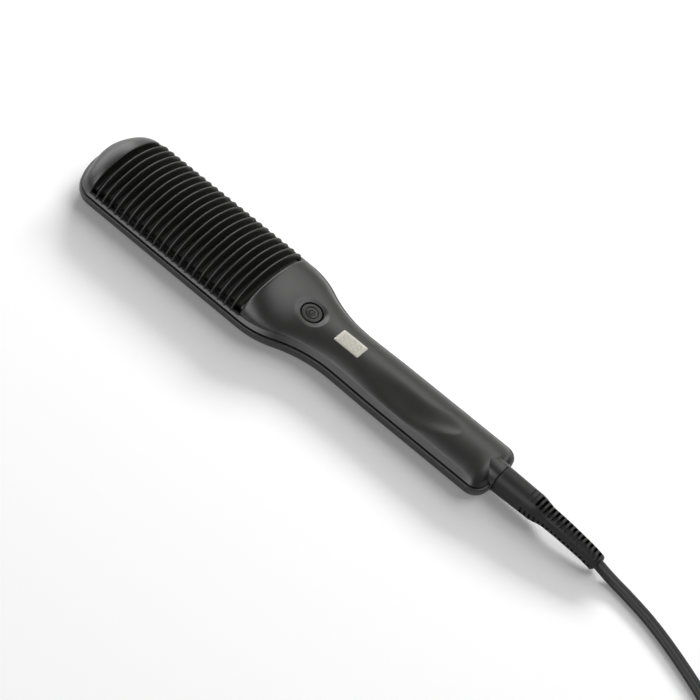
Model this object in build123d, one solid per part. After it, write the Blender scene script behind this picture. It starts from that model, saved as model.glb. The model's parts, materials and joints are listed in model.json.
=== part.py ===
from build123d import *
from math import atan2, cos, pi, radians, sin, sqrt, tan
import os

os.makedirs("parts", exist_ok=True)

# The brush lies on its back: fins up along +Z, tip at -X, mains lead at +X.
# The origin is under the middle of the housing, on the surface it lies on. Units are mm.

# ---------------------------------------------------------------- driving dimensions
BODY_LENGTH = 275.0
BELLY = 10.0             # height of the parting line above the resting face
BELLY_ROUND = 10.3       # depth of the back's full curve, cut flat where it rests
LIP = 1.1                # the back shell's lip stands this far out past the parting line
HEAD_HALF = 28.3         # half width of the head at the parting line
GRIP_HALF = 16.1
HEAD_CROWN = 15.0        # height of the top shell above the parting line
GRIP_CROWN = 7.5
WALL = 2.0
CROWN_POWER = 2.0        # fullness of the top shell's section
BEVEL = 1.3              # sloped band along the top shell's edge
BELLY_POWER = 3.0

NOSE_R, NOSE_CORNER_R = 42.0, 13.0
TAIL_R, TAIL_CORNER_R = 70.0, 6.5
NECK_START, NECK_END = -13.0, 38.0
SHOULDER_R = 44.0

FIN_COUNT = 22
FIN_PITCH = 4.56
FIN_THICKNESS = 1.0
FIRST_FIN_X = -115.5
FIN_HALF, FIN_FOOT, FIN_RISE, FIN_POWER = 26.2, 2.2, 13.0, 1.75
FLOOR_FOOT, FLOOR_RISE = 1.4, 5.6
WINDOW_START, WINDOW_END = -118.2, -15.2
RAIL_TOP = 2.1           # height of the rail beside the fins

BUTTON_X, BUTTON_D = 10.8, 11.6
BUTTON_TRAVEL = 0.7
DISH_D, DISH_R, DISH_DEPTH = 17.6, 24.0, 0.9
DISPLAY_X, DISPLAY_LENGTH, DISPLAY_WIDTH = 37.0, 15.9, 9.0
THUMB_X, THUMB_SIZE = 80.5, (33.0, 16.0, 2.2)
THUMB_DEPTH = 1.1

AXIS_Z = 9.1             # height of the lead's axis
COLLAR_R, COLLAR_START, COLLAR_END = 8.3, 126.3, 137.5
HUB_R, HUB_BORE = 4.95, 5.0
RELIEF_R, RELIEF_START, RELIEF_STEP = 7.65, 137.65, 163.0
TAIL_START_D, TAIL_END_D, TAIL_END, TAIL_DROP = 11.2, 9.6, 200.3, 3.9
TAIL_DIP = 18.0          # how steeply the lead leaves the relief, in degrees
CORD_D = 4.4             # round section with the area of the flat twin lead
COIL_X, COIL_Y, COIL_R = 320.0, 8.0, 37.0
COIL_HALF, COIL_FLOOR, COIL_TOP = 9.5, 0.4, 12.4
PLUG_WIDTH, PLUG_THICKNESS, PLUG_LENGTH = 35.3, 13.7, 27.0
SLEEVE_LENGTH = 8.0
PIN_D, PIN_LENGTH, PIN_SPACING = 4.0, 19.0, 19.0

# ---------------------------------------------------------------- derived places
PARTING_Z = BELLY
NOSE_X = -BODY_LENGTH / 2 + LIP
TAIL_X = BODY_LENGTH / 2 - LIP
NECK_DROP = HEAD_HALF - GRIP_HALF
NECK_ANGLE = 2 * atan2(NECK_DROP, NECK_END - NECK_START)
HOLLOW_R = (NECK_END - NECK_START) / sin(NECK_ANGLE) - SHOULDER_R
NECK_MID = NECK_START + SHOULDER_R * sin(NECK_ANGLE)
FIN_X = [FIRST_FIN_X + FIN_PITCH * k for k in range(FIN_COUNT)]


# ---------------------------------------------------------------- shape of the body
def end_width(inset, half, end_r, corner_r):
    """Half width at a distance in from a rounded end: a flat end arc and two corner arcs."""
    reach = sqrt((end_r - corner_r) ** 2 - (half - corner_r) ** 2)
    corner_x = end_r - reach
    touch_x = end_r - end_r * reach / (end_r - corner_r)
    if inset <= 0:
        return 0.0
    if inset < touch_x:
        return sqrt(end_r ** 2 - (end_r - inset) ** 2)
    if inset < corner_x:
        return half - corner_r + sqrt(corner_r ** 2 - (corner_x - inset) ** 2)
    return half


def half_width(x, grow=0.0):
    """Half width of the parting line at x, grown outward by a parallel distance."""
    if x < NECK_START:
        return end_width(x - NOSE_X + grow, HEAD_HALF + grow, NOSE_R + grow, NOSE_CORNER_R + grow)
    if x < NECK_MID:
        radius = SHOULDER_R + grow
        return HEAD_HALF + grow - radius + sqrt(radius ** 2 - (x - NECK_START) ** 2)
    if x < NECK_END:
        radius = HOLLOW_R - grow
        return GRIP_HALF + grow + radius - sqrt(radius ** 2 - (NECK_END - x) ** 2)
    return end_width(TAIL_X - x + grow, GRIP_HALF + grow, TAIL_R + grow, TAIL_CORNER_R + grow)


def rounded(t, power):
    """Falls from 1 at t = 0 to 0 at t = 1, flat at first and steep at the end."""
    return max(0.0, 1 - max(0.0, t) ** power) ** (1 / power)


def crown(x):
    """Height of the top shell above the parting line along the middle."""
    rim = 2.0
    if x < WINDOW_START:
        return rim + (HEAD_CROWN - rim) * rounded((WINDOW_START - x) / (WINDOW_START - NOSE_X), 2.2)
    if x < WINDOW_END:
        return HEAD_CROWN
    neck = min(1.0, (x - WINDOW_END) / 36.0)
    top = GRIP_CROWN + (HEAD_CROWN - GRIP_CROWN) * (1 - neck ** 1.35) ** 2.9
    return rim + (top - rim) * rounded((x - 122.0) / (TAIL_X - 122.0), 2.4)


def belly(x):
    """Depth of the back shell's curve below the parting line along the middle."""
    nose = rounded((NOSE_X - LIP + 22.0 - x) / 22.0, 3.0)
    tail = rounded((x - TAIL_X - LIP + 16.0) / 16.0, 3.0)
    return 3.0 + (BELLY_ROUND - 3.0) * min(nose, tail)


def arch(half, rise, power, base=0.0, count=17):
    """Points of a superellipse arch over the middle, from -Y to +Y; a negative rise hangs down."""
    points = []
    for k in range(count):
        angle = pi * k / (count - 1)
        side = abs(cos(angle)) ** (2 / power)
        points.append((-half * side if angle < pi / 2 else half * side,
                       base + rise * sin(angle) ** (2 / power)))
    return points


def arch_face(x, half, rise, power, base, bevel=0.0):
    """Face at x under an arch, or over a hanging one; a bevel slopes in at 45 degrees below it."""
    away = 1 if rise > 0 else -1
    curve = Spline(*[(x, y, z) for y, z in arch(half - bevel, rise - bevel, power, base + bevel)],
                   tangents=((0, 0, away), (0, 0, -away)))
    if not bevel:
        return make_face([curve, Line(curve @ 1, curve @ 0)])
    left, right = (x, -half, base), (x, half, base)
    return make_face([curve, Line(curve @ 1, right), Line(right, left), Line(left, curve @ 0)])


def shell_solid(runs, width, height, power, base, bevel=0.0):
    """Solid of lofted and straight lengths, each given by the stations along it."""
    lengths = []
    for run in runs:
        faces = [arch_face(x, width(x), height(x), power, base, bevel) for x in run]
        straight = len(run) == 2
        lengths.append(extrude(faces[0], run[1] - run[0], dir=(1, 0, 0)) if straight else loft(faces))
    return lengths[0] + lengths[1:]


def block(x, y, z, length, width, height):
    """Box by its middle in X and Y and its underside in Z."""
    return Pos(x, y, z + height / 2) * Box(length, width, height)


def rod(x0, x1, radius, y=0.0, z=AXIS_Z):
    """Cylinder along X."""
    return Pos((x0 + x1) / 2, y, z) * Rot(0, 90, 0) * Cylinder(radius, x1 - x0)


def post(x, y, z0, z1, radius):
    """Cylinder along Z."""
    return Pos(x, y, (z0 + z1) / 2) * Cylinder(radius, z1 - z0)


def wire(points, radius):
    """Insulated wire along rounded runs."""
    path = FilletPolyline(*points, radius=1.6)
    return sweep(Plane(path @ 0, z_dir=path % 0) * Circle(radius), path)


CAP_RUN = [NOSE_X + 0.3, -135.2, -133.4, -130.8, -127.4, -123.4, -119.8, WINDOW_START]
NECK_RUN = [WINDOW_END, -12.0, -8.5, -5.0, 0.0, 5.0, 10.0, 15.5, 21.0, 29.0, 38.0, 40.0]
GRIP_RUN = [40.0, 120.0]
TAIL_RUN = [120.0, 122.0, 126.0, 129.5, 132.2, 134.2, 135.5, TAIL_X - 0.3]
BACK_NOSE = [NOSE_X - LIP + 0.3, -136.3, -134.4, -131.4, -127.4, -123.0, -118.5, -114.5, -112.0]
BACK_HEAD = [-112.0, -14.0]
BACK_NECK = [-14.0, -13.0, -6.0, 1.0, 8.0, 15.0, 22.0, 30.0, 38.0, 40.0]
BACK_GRIP = [40.0, 119.0]
BACK_TAIL = [119.0, 121.0, 126.0, 130.0, 132.8, 134.8, 136.2, TAIL_X + LIP - 0.3]
SCREW_SPOTS = [(-124.0, 0.0), (-4.0, -16.0), (-4.0, 16.0), (72.0, 0.0), (97.0, 0.0)]
BOARD_SPOTS = [(22.0, 7.5), (74.0, -8.2)]
FILL_X, FILL_Z, FILL_SEAT_Y = -40.0, 5.6, 28.2


# ---------------------------------------------------------------- casings
def hollow(runs, start, end):
    """The same runs with the stations that leave room for an end wall."""
    kept = [[x for x in run if start < x < end] for run in runs]
    return [run for run in kept if len(run) > 1]


def head_rail():
    """Rail that joins the cap to the neck along one side of the fins, with a ledge for the comb."""
    inner, ledge_inner, ledge_top = FIN_HALF + 0.1, 23.6, 1.15
    section = Polygon((ledge_inner, 0), (HEAD_HALF, 0), (inner, RAIL_TOP), (inner, ledge_top),
                      (ledge_inner, ledge_top), align=None)
    frame = Plane((WINDOW_START - 1, 0, PARTING_Z), x_dir=(0, 1, 0), z_dir=(1, 0, 0))
    return extrude(frame * section, WINDOW_END - WINDOW_START + 2)


def upper_housing():
    """Top shell: smooth tip, rails beside the fins, neck and grip, with its openings."""
    cap, body = [CAP_RUN], [NECK_RUN, GRIP_RUN, TAIL_RUN]
    wall = 1.5
    shell = shell_solid(cap, half_width, crown, CROWN_POWER, PARTING_Z, BEVEL)
    shell -= shell_solid(hollow(cap, NOSE_X + 3, WINDOW_START - wall), lambda x: half_width(x) - WALL,
                         lambda x: crown(x) - WALL, CROWN_POWER, PARTING_Z - 0.5, BEVEL)
    neck = shell_solid(body, half_width, crown, CROWN_POWER, PARTING_Z, BEVEL)
    neck -= shell_solid(hollow(body, WINDOW_END + wall, TAIL_X - 2), lambda x: half_width(x) - WALL,
                        lambda x: crown(x) - WALL, CROWN_POWER, PARTING_Z - 0.5, BEVEL)
    neck -= block(WINDOW_END, 0, PARTING_Z - 1, 8, 26, 5.4)
    neck -= post(BUTTON_X, 0, PARTING_Z, 40, BUTTON_D / 2 + 0.3)
    dish = Pos(BUTTON_X, 0, PARTING_Z + crown(BUTTON_X) - DISH_DEPTH + DISH_R) * Sphere(DISH_R)
    neck -= dish & post(BUTTON_X, 0, PARTING_Z, 40, DISH_D / 2)
    neck -= block(DISPLAY_X, 0, PARTING_Z, DISPLAY_LENGTH, DISPLAY_WIDTH, 12)
    scoop_z = PARTING_Z + GRIP_CROWN - THUMB_DEPTH + THUMB_SIZE[2]
    neck -= Pos(THUMB_X, 0, scoop_z) * scale(Sphere(1), by=THUMB_SIZE)
    neck -= rod(COLLAR_START - 0.1, TAIL_X + 1, COLLAR_R + 0.05)
    rail = head_rail()
    shell += [neck, rail, mirror(rail, about=Plane.XZ)]
    for x, y in SCREW_SPOTS:
        top = PARTING_Z + crown(x) * rounded(abs(y) / half_width(x), CROWN_POWER) - WALL - 1.2
        shell += post(x, y, PARTING_Z + 0.1, top + 1.6, 2.9)
        shell -= post(x, y, PARTING_Z, top, 1.2)
    return shell


def lower_housing():
    """Back shell: a tray whose lip stands proud of the parting groove, flat where it rests."""
    runs = [BACK_NOSE, BACK_HEAD, BACK_NECK, BACK_GRIP, BACK_TAIL]
    outer = shell_solid(runs, lambda x: half_width(x, LIP), lambda x: -belly(x), BELLY_POWER, PARTING_Z)
    outer -= block(0, 0, -2, 300, 80, 2)
    inner = shell_solid(hollow(runs, NOSE_X + 4, TAIL_X - 3), lambda x: half_width(x) - WALL,
                        lambda x: -(belly(x) - WALL), BELLY_POWER, PARTING_Z + 0.5)
    boss = Pos(FILL_X, 24.1, FILL_Z) * Rot(90, 0, 0) * Cylinder(4.6, 10)
    tray = outer - inner + (outer & boss)
    tray -= rod(COLLAR_START - 0.1, TAIL_X + LIP + 1, COLLAR_R + 0.05)
    for x, y in SCREW_SPOTS:
        tray += post(x, y, 1.0, PARTING_Z, 3.4)
        tray -= post(x, y, -1.0, 5.6, 2.7) + post(x, y, 5.0, 11.0, 1.6)
    for x, y in BOARD_SPOTS:
        tray += post(x, y, 1.5, BOARD_Z - 0.05, 2.0)
        tray -= post(x, y, 4.0, BOARD_Z, 0.95)
    tray -= Pos(FILL_X, 27.0, FILL_Z) * Rot(90, 0, 0) * Cylinder(3.05, 10)
    tray -= Pos(FILL_X, 21.0, FILL_Z) * Rot(90, 0, 0) * Cylinder(1.5, 6)
    tray -= Pos(FILL_X, FILL_SEAT_Y + 2.5, FILL_Z) * Rot(90, 0, 0) * Cylinder(3.75, 5)
    return tray


def cord_collar():
    """Ring held between the shells, in which the lead's swivel turns."""
    ring = rod(COLLAR_START, COLLAR_END, COLLAR_R)
    return ring - rod(COLLAR_START - 1, COLLAR_END + 1, HUB_BORE)


# ---------------------------------------------------------------- fins and heater
def fin(x):
    """One thin arched fin across the head."""
    outer = Spline(*[(x, y, z) for y, z in arch(FIN_HALF, FIN_RISE, FIN_POWER, PARTING_Z + FIN_FOOT)])
    floor = [(x, y, z) for y, z in arch(FIN_HALF, FLOOR_RISE, FIN_POWER, PARTING_Z + FLOOR_FOOT + 0.3)]
    inner = Spline(*floor)
    face = make_face([outer, inner, Line(outer @ 0, inner @ 0), Line(outer @ 1, inner @ 1)])
    return extrude(face, FIN_THICKNESS / 2, both=True)


def floor_height(y):
    """Height of the gap floor above its foot line, at a distance from the middle."""
    return FLOOR_RISE * rounded(abs(y) / FIN_HALF, FIN_POWER)


def fin_guard():
    """Comb of arched fins joined by a rail along each side and a bar at each end."""
    start, end = WINDOW_START + 0.1, WINDOW_END - 0.1
    inner_y, base = 22.6, PARTING_Z + FLOOR_FOOT
    section = Polygon((inner_y, base - 0.2), (FIN_HALF, base - 0.2), (FIN_HALF, base + 0.9),
                      (inner_y, base + floor_height(inner_y) + 0.9), align=None)
    frame = Plane((start, 0, 0), x_dir=(0, 1, 0), z_dir=(1, 0, 0))
    rail = extrude(frame * section, end - start)
    bars = [block(x, 0, base - 0.2, 1.6, 2 * inner_y + 1, 1.6) for x in (start + 0.8, end - 0.8)]
    return rail + [mirror(rail, about=Plane.XZ)] + bars + [fin(x) for x in FIN_X]


def heating_plate():
    """Crowned aluminium plate under the fins, with rows of steam slots in the gaps."""
    half, base = 22.3, PARTING_Z + FLOOR_FOOT
    start, end = WINDOW_START + 2.0, WINDOW_END - 2.0
    top = Spline(*[(start, y, base + floor_height(y)) for y in (-half, -14.0, 0.0, 14.0, half)])
    low = base - 0.2
    left, right = (start, -half, low), (start, half, low)
    face = make_face([top, Line(top @ 1, right), Line(right, left), Line(left, top @ 0)])
    plate = extrude(face, end - start, dir=(1, 0, 0))
    plate -= block((start + end) / 2, 0, low - 0.1, end - start - 8, 2 * half - 8, 2.2)
    for k in range(3, FIN_COUNT - 3, 3):
        x = FIN_X[k] + FIN_PITCH / 2
        for y in (-9.0, 9.0):
            plate -= block(x, y, low - 1, 1.4, 5.0, 12)
    return plate


HEATER_Z = PARTING_Z + FLOOR_FOOT + 1.9
HEATER_XS = (-94.5, -44.0)
HEATER_LENGTH = 34.0


def ptc_heaters():
    """Two flat heater cartridges pressed against the plate's underside."""
    return Compound(children=[block(x, 0, HEATER_Z - 2.6, HEATER_LENGTH, 12, 2.5) for x in HEATER_XS])


def heater_insulation():
    """Mica sheet between each heater and its clamp."""
    return Compound(children=[block(x, 0, HEATER_Z - 3.0, HEATER_LENGTH, 14, 0.35) for x in HEATER_XS])


def heater_clamp():
    """Sprung steel strips that press the heaters up."""
    strips = []
    for x in HEATER_XS:
        strip = block(x, 0, HEATER_Z - 3.9, HEATER_LENGTH, 10, 0.8)
        strips.append(strip + block(x, 0, HEATER_Z - 4.4, 10, 16, 0.6))
    return Compound(children=strips)


def heat_shield():
    """Aluminium tray that keeps the heat off the tank and the back shell."""
    tray = block(-66.7, 0, 8.3, 92, 37.6, 1.3) - block(-66.7, 0, 8.9, 90.8, 36.4, 3)
    return tray - post(-71.0, 0, 7, 12, 2.4)


def temperature_sensor():
    """Glass bead sensor under the plate."""
    return block(-71.0, 8.0, HEATER_Z - 2.0, 6, 2.6, 1.9)


def thermal_fuse():
    """Cylindrical fuse clipped under the plate."""
    return rod(-78.0, -66.0, 1.3, y=-9.0, z=HEATER_Z - 1.4)


# ---------------------------------------------------------------- water path
def water_tank():
    """Flat tank under the heat shield, filled through a port on the far side."""
    tank = block(-66.0, 0, 3.5, 86, 38, 4.5) - block(-66.0, 0, 4.3, 84, 36, 2.9)
    port = Pos(FILL_X, 18.0, FILL_Z) * Rot(90, 0, 0) * Cylinder(1.4, 4)
    return tank - port - post(-71.0, 0, 6, 9, 1.6)


def fill_plug():
    """Soft plug in the filler hole, flush in the side, pulled straight out to fill the tank."""
    inner, outer = 22.1, FILL_SEAT_Y + 0.05
    stem = Pos(FILL_X, (inner + outer) / 2, FILL_Z) * Rot(90, 0, 0) * Cylinder(2.97, outer - inner)
    head = Pos(FILL_X, outer + 0.5, FILL_Z) * Rot(90, 0, 0) * Cylinder(3.6, 1.0)
    tab = block(FILL_X, outer + 1.1, FILL_Z - 0.6, 3.2, 0.4, 1.2)
    return stem + head + tab


def tank_wick():
    """Felt wick that lifts water from the tank to the steam chamber."""
    return post(-71.0, 0, 4.35, 11.0, 1.5)


def steam_chamber():
    """Small heated box under the plate where the water boils off."""
    box = block(-71.0, 0, HEATER_Z - 2.2, 12, 11, 2.1)
    return box - block(-71.0, 0, HEATER_Z - 1.6, 10, 9, 2.1) - post(-71.0, 0, 10, 12, 1.6)


# ---------------------------------------------------------------- controls and electronics
BOARD_Z = 8.0
BOARD_TOP = BOARD_Z + 1.6
PLUNGER_TOP = 13.6


def power_button():
    """Round button with a raised ring and a plain start mark, on a stem over its switch."""
    face_z = PARTING_Z + crown(BUTTON_X) - DISH_DEPTH
    cap = post(BUTTON_X, 0, face_z - 2.2, face_z, BUTTON_D / 2)
    ring = post(BUTTON_X, 0, face_z - 0.3, face_z + 0.25, 3.4) - post(BUTTON_X, 0, 0, 30, 2.9)
    mark = post(BUTTON_X, 0, face_z - 0.3, face_z + 0.2, 1.7) - post(BUTTON_X, 0, 0, 30, 1.25)
    mark += block(BUTTON_X + 1.5, 0, face_z - 0.3, 1.6, 0.5, 0.5)
    return cap + ring + mark + post(BUTTON_X, 0, PLUNGER_TOP, face_z - 1, 1.8)


def tact_switch():
    """Momentary switch on the board."""
    body = block(BUTTON_X, 0, BOARD_TOP, 6.2, 6.2, 2.2)
    return body - post(BUTTON_X, 0, BOARD_TOP + 0.8, 20, 1.8)


def switch_plunger():
    """Plunger of the switch, which follows the button."""
    return post(BUTTON_X, 0, BOARD_TOP + 1.0 + BUTTON_TRAVEL, PLUNGER_TOP, 1.75)


def display_window():
    """Clear lens, flush in the top shell."""
    lens = block(DISPLAY_X, 0, PARTING_Z + GRIP_CROWN - 1.6, DISPLAY_LENGTH - 0.1,
                 DISPLAY_WIDTH - 0.1, 1.5)
    return fillet(lens.edges().filter_by(Axis.Z), 0.8)


def display_module():
    """Three figure segment display behind the lens."""
    return block(DISPLAY_X, 0, BOARD_TOP + 0.05, 15.0, 8.4, PARTING_Z + GRIP_CROWN - 1.75 - BOARD_TOP)


def main_board():
    """Circuit board along the grip."""
    board = block(40.0, 0, BOARD_Z, 84, 21, 1.6) - post(72.0, 0, 7, 11, 3.7)
    for x, y in BOARD_SPOTS:
        board -= post(x, y, 7, 11, 1.0)
    return board


def film_capacitor():
    """Interference capacitor under the board."""
    return block(54.0, 3.0, 3.4, 13, 6, BOARD_Z - 3.45)


def filter_capacitor():
    """Electrolytic capacitor, lying down under the board."""
    return rod(24.0, 36.0, 2.6, y=-4.0, z=5.3)


def triac():
    """Heater switch with its metal tab."""
    return block(10.0, -5.0, 4.0, 10, 9, 3.9)


def mains_fuse():
    """Glass fuse under the board."""
    return rod(42.0, 62.0, 2.3, y=-6.0, z=5.4)


# ---------------------------------------------------------------- wiring inside
def heater_leads():
    """Sleeved wires from the board to the nearer heater."""
    return Compound(children=[
        wire([(0.5, y, BOARD_TOP + 0.7), (-21.5, 0.6 * y, BOARD_TOP + 0.7),
              (-26.6, 0.5 * y, HEATER_Z - 1.4)], 0.65) for y in (-7.0, 7.0)])


def sensor_leads():
    """Thin pair in one sleeve from the board to the temperature sensor."""
    return wire([(0.5, 9.2, BOARD_TOP + 0.5), (-22.0, 9.4, BOARD_TOP + 0.5), (-28.0, 9.6, HEATER_Z - 1.4),
                 (-60.0, 9.5, HEATER_Z - 1.4), (-67.9, 8.3, HEATER_Z - 1.1)], 0.45)


def mains_leads():
    """Pair of wires from the contact brushes to the board."""
    return Compound(children=[
        wire([(103.2, y, AXIS_Z), (98.0, y, AXIS_Z + 0.6), (90.0, 0.8 * y, BOARD_TOP + 0.9),
              (80.0, 0.7 * y, BOARD_TOP + 0.8)], 0.75) for y in (-7.2, 7.2)])


# ---------------------------------------------------------------- swivel and lead
RING_XS = (107.0, 112.0)
RING_R, CORE_R = 5.0, 3.8


def swivel_hub():
    """Turning core of the lead's swivel, held behind the collar by its flange."""
    hub = rod(COLLAR_START - 4.2, RELIEF_START, HUB_R)
    return hub + rod(COLLAR_START - 4.2, COLLAR_START - 0.2, 5.7) + rod(104.6, COLLAR_START - 4.2, CORE_R)


def slip_rings():
    """Two brass rings on the hub, one for each pole."""
    return Compound(children=[rod(x - 1.4, x + 1.4, RING_R) - rod(x - 2, x + 2, CORE_R) for x in RING_XS])


def brush_carrier():
    """Plastic saddle under the slip rings that holds the contact brushes."""
    return block(109.0, 0, 3.1, 11, 17.6, 9.9) - block(109.0, 0, 4.0, 12, 15.0, 20)


def contact_brushes():
    """Sprung brass contacts, one on each ring."""
    brushes = []
    for x, side in zip(RING_XS, (-1, 1)):
        pad = block(x, side * (RING_R + 1.05), AXIS_Z - 1.5, 2.4, 2.0, 3.0)
        spring = block((x + 104.3) / 2, side * 7.2, AXIS_Z - 1.0, x - 102.3, 0.5, 2.0)
        brushes.append(pad + spring)
    return Compound(children=brushes)


def relief_path():
    """Centre line of the relief's tail: straight out, then one bend down."""
    dip = radians(TAIL_DIP)
    return Spline((RELIEF_STEP - 1, 0, AXIS_Z), ((RELIEF_STEP + TAIL_END) / 2, 0, AXIS_Z - 0.9),
                  (TAIL_END, 0, AXIS_Z - TAIL_DROP), tangents=((1, 0, 0), (cos(dip), 0, -sin(dip))))


def strain_relief():
    """Moulded sleeve: a plain end, a step, and a slotted bending tail."""
    path = relief_path()
    rings = [Plane(path @ t, x_dir=(0, 1, 0), z_dir=path % t) * Circle(
        (TAIL_START_D + (TAIL_END_D - TAIL_START_D) * t) / 2) for t in (0, 0.2, 0.4, 0.6, 0.8, 1)]
    profile = Polygon((RELIEF_START, AXIS_Z), (RELIEF_START, AXIS_Z + RELIEF_R - 0.15),
                      (RELIEF_START + 20.0, AXIS_Z + RELIEF_R - 0.45), (RELIEF_STEP, AXIS_Z + 6.2),
                      (RELIEF_STEP + 1.5, AXIS_Z), align=None)
    sleeve = revolve(Plane.XZ * profile, Axis((0, 0, AXIS_Z), (1, 0, 0))) + loft(rings)
    for k in range(13):
        t = 0.10 + 0.86 * k / 12
        spot = Plane(path @ t, x_dir=(0, 1, 0), z_dir=path % t)
        reach = (TAIL_START_D + (TAIL_END_D - TAIL_START_D) * t) / 2
        for side in (-1, 1):
            sleeve -= spot * Pos(0, side * reach, 0) * Box(5.4, 2.4, 1.4)
            sleeve -= spot * Pos(side * reach, 0, 0) * Box(2.4, 3.4, 1.4)
    return sleeve


# Route of the lead along the floor from the relief into its coil, chosen by hand.
FLOOR = CORD_D / 2
LEAD_ROUTE = [
    (TAIL_END, 0.0, AXIS_Z - TAIL_DROP), (209.4, 0.0, 2.25), (221.0, -1.3, FLOOR), (240.0, -5.0, FLOOR),
    (265.0, -13.0, FLOOR), (292.0, -23.0, FLOOR), (COIL_X, COIL_Y - COIL_R, FLOOR),
]

# The lead's last stretch, off the top of the coil and into the plug that lies on it.
PLUG_X, PLUG_Y = COIL_X + 31.0, COIL_Y - 3.7
PLUG_Z = COIL_TOP + 0.05 + PLUG_THICKNESS / 2
END_ROUTE = [
    (COIL_X - 12.8, COIL_Y - 34.7, 11.0), (COIL_X - 2.3, COIL_Y - 39.4, 12.4),
    (COIL_X + 9.2, COIL_Y - 39.4, 14.8), (COIL_X + 19.7, COIL_Y - 34.7, 16.8),
    (COIL_X + 27.4, COIL_Y - 26.1, 18.4), (COIL_X + 31.0, COIL_Y - 15.2, 19.2),
    (PLUG_X, PLUG_Y, PLUG_Z),
]


def arc_radii(points):
    """Radius of the tangent arc at each corner of a route."""
    radii = []
    for before, corner, after in zip(points, points[1:], points[2:]):
        a = Vector(*corner) - Vector(*before)
        b = Vector(*after) - Vector(*corner)
        radii.append(0.45 * min(a.length, b.length) / tan(radians(a.get_angle(b)) / 2))
    return radii


def lead_tube(name, route):
    """Tube of the lead along runs joined by tangent arcs."""
    radii = arc_radii(route)
    path = FilletPolyline(*route, radius=radii)
    print(name, "radii", [round(r, 1) for r in radii], "length", round(path.length, 1))
    return sweep(Plane(path @ 0, z_dir=path % 0) * Circle(CORD_D / 2), path)


def power_cord():
    """Lead along the floor from the relief to the coil."""
    return lead_tube("power_cord", LEAD_ROUTE)


def coil_band(grow, angle, middle):
    """Turned solid of the coil's section, grown by a distance, over an angle about its middle."""
    inner, outer = COIL_R - COIL_HALF - grow, COIL_R + COIL_HALF + grow
    low, high = COIL_FLOOR - grow, COIL_TOP + grow
    section = Polygon((inner, low), (outer, low), (outer, high), (inner, high), align=None)
    band = revolve(Plane.XZ * section, Axis.Z, angle)
    return Pos(COIL_X, COIL_Y, 0) * Rot(0, 0, middle - angle / 2) * band


def cord_coil():
    """Outer shape of the neat coil that holds most of the lead: seven turns."""
    return coil_band(0.0, 360, 0)


def cord_tie():
    """Narrow strap around the coil's turns."""
    angle, middle = 10, 180
    return coil_band(0.35, angle, middle) - coil_band(0.05, angle + 4, middle)


def plug_lead():
    """Lead from the coil's top turn into the plug."""
    return lead_tube("plug_lead", END_ROUTE)


def plug_body():
    """Flat two pole plug with a tapered cable sleeve, lying on the coil."""
    start, end, half = PLUG_Y + SLEEVE_LENGTH, PLUG_Y + SLEEVE_LENGTH + PLUG_LENGTH, PLUG_WIDTH / 2
    outline = Polygon((PLUG_X - 7, start), (PLUG_X + 7, start), (PLUG_X + half, start + 9),
                      (PLUG_X + half, end), (PLUG_X - half, end), (PLUG_X - half, start + 9), align=None)
    body = extrude(Plane.XY.offset(PLUG_Z) * outline, PLUG_THICKNESS / 2, both=True)
    body = fillet([edge for edge in body.edges() if abs(edge.center().Z - PLUG_Z) > 6], 3.0)
    sleeve = Pos(PLUG_X, PLUG_Y + SLEEVE_LENGTH / 2 + 0.5, PLUG_Z) * Rot(-90, 0, 0)
    return body + sleeve * Cone(3.4, 5.2, SLEEVE_LENGTH + 1)


def plug_pins():
    """Two round pins."""
    start = PLUG_Y + SLEEVE_LENGTH + PLUG_LENGTH
    pins = []
    for side in (-1, 1):
        spot = Pos(PLUG_X + side * PIN_SPACING / 2, start + PIN_LENGTH / 2, PLUG_Z)
        pins.append(spot * Rot(90, 0, 0) * Cylinder(PIN_D / 2, PIN_LENGTH))
    return Compound(children=pins)


# ---------------------------------------------------------------- fasteners
def housing_screws():
    """Screws from the back shell into the top shell's posts."""
    screws = []
    for x, y in SCREW_SPOTS:
        screws.append(post(x, y, 3.2, 5.5, 2.4) + post(x, y, 5.4, PARTING_Z + 2.2, 1.15))
    return Compound(children=screws)


def board_screws():
    """Small screws that hold the board on its posts."""
    return Compound(children=[post(x, y, BOARD_TOP + 0.05, BOARD_TOP + 1.2, 1.9)
                              + post(x, y, 4.5, BOARD_TOP + 0.5, 0.9) for x, y in BOARD_SPOTS])


def screw_caps():
    """Soft caps over the screw heads, flush in the back."""
    return Compound(children=[post(x, y, 0.3, 2.4, 2.65) for x, y in SCREW_SPOTS])


PARTS = [
    upper_housing, lower_housing, cord_collar, fin_guard, heating_plate, ptc_heaters, heater_insulation,
    heater_clamp, heat_shield, temperature_sensor, thermal_fuse, water_tank, fill_plug, tank_wick,
    steam_chamber, power_button, tact_switch, switch_plunger, display_window, display_module, main_board,
    film_capacitor, filter_capacitor, triac, mains_fuse, heater_leads, sensor_leads, mains_leads,
    brush_carrier, contact_brushes, swivel_hub, slip_rings, strain_relief, power_cord, cord_coil,
    cord_tie, plug_lead, plug_body, plug_pins, housing_screws, board_screws, screw_caps,
]

for make in PARTS:
    export_step(make(), f"parts/{make.__name__}.step")
    print("wrote", make.__name__)
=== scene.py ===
"""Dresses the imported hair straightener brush: detailed pieces, materials, light and camera."""

import json
import logging
import math
from dataclasses import dataclass
from enum import Enum
from typing import Iterable, Sequence

import bmesh
import bpy
from mathutils import Matrix, Vector

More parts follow.
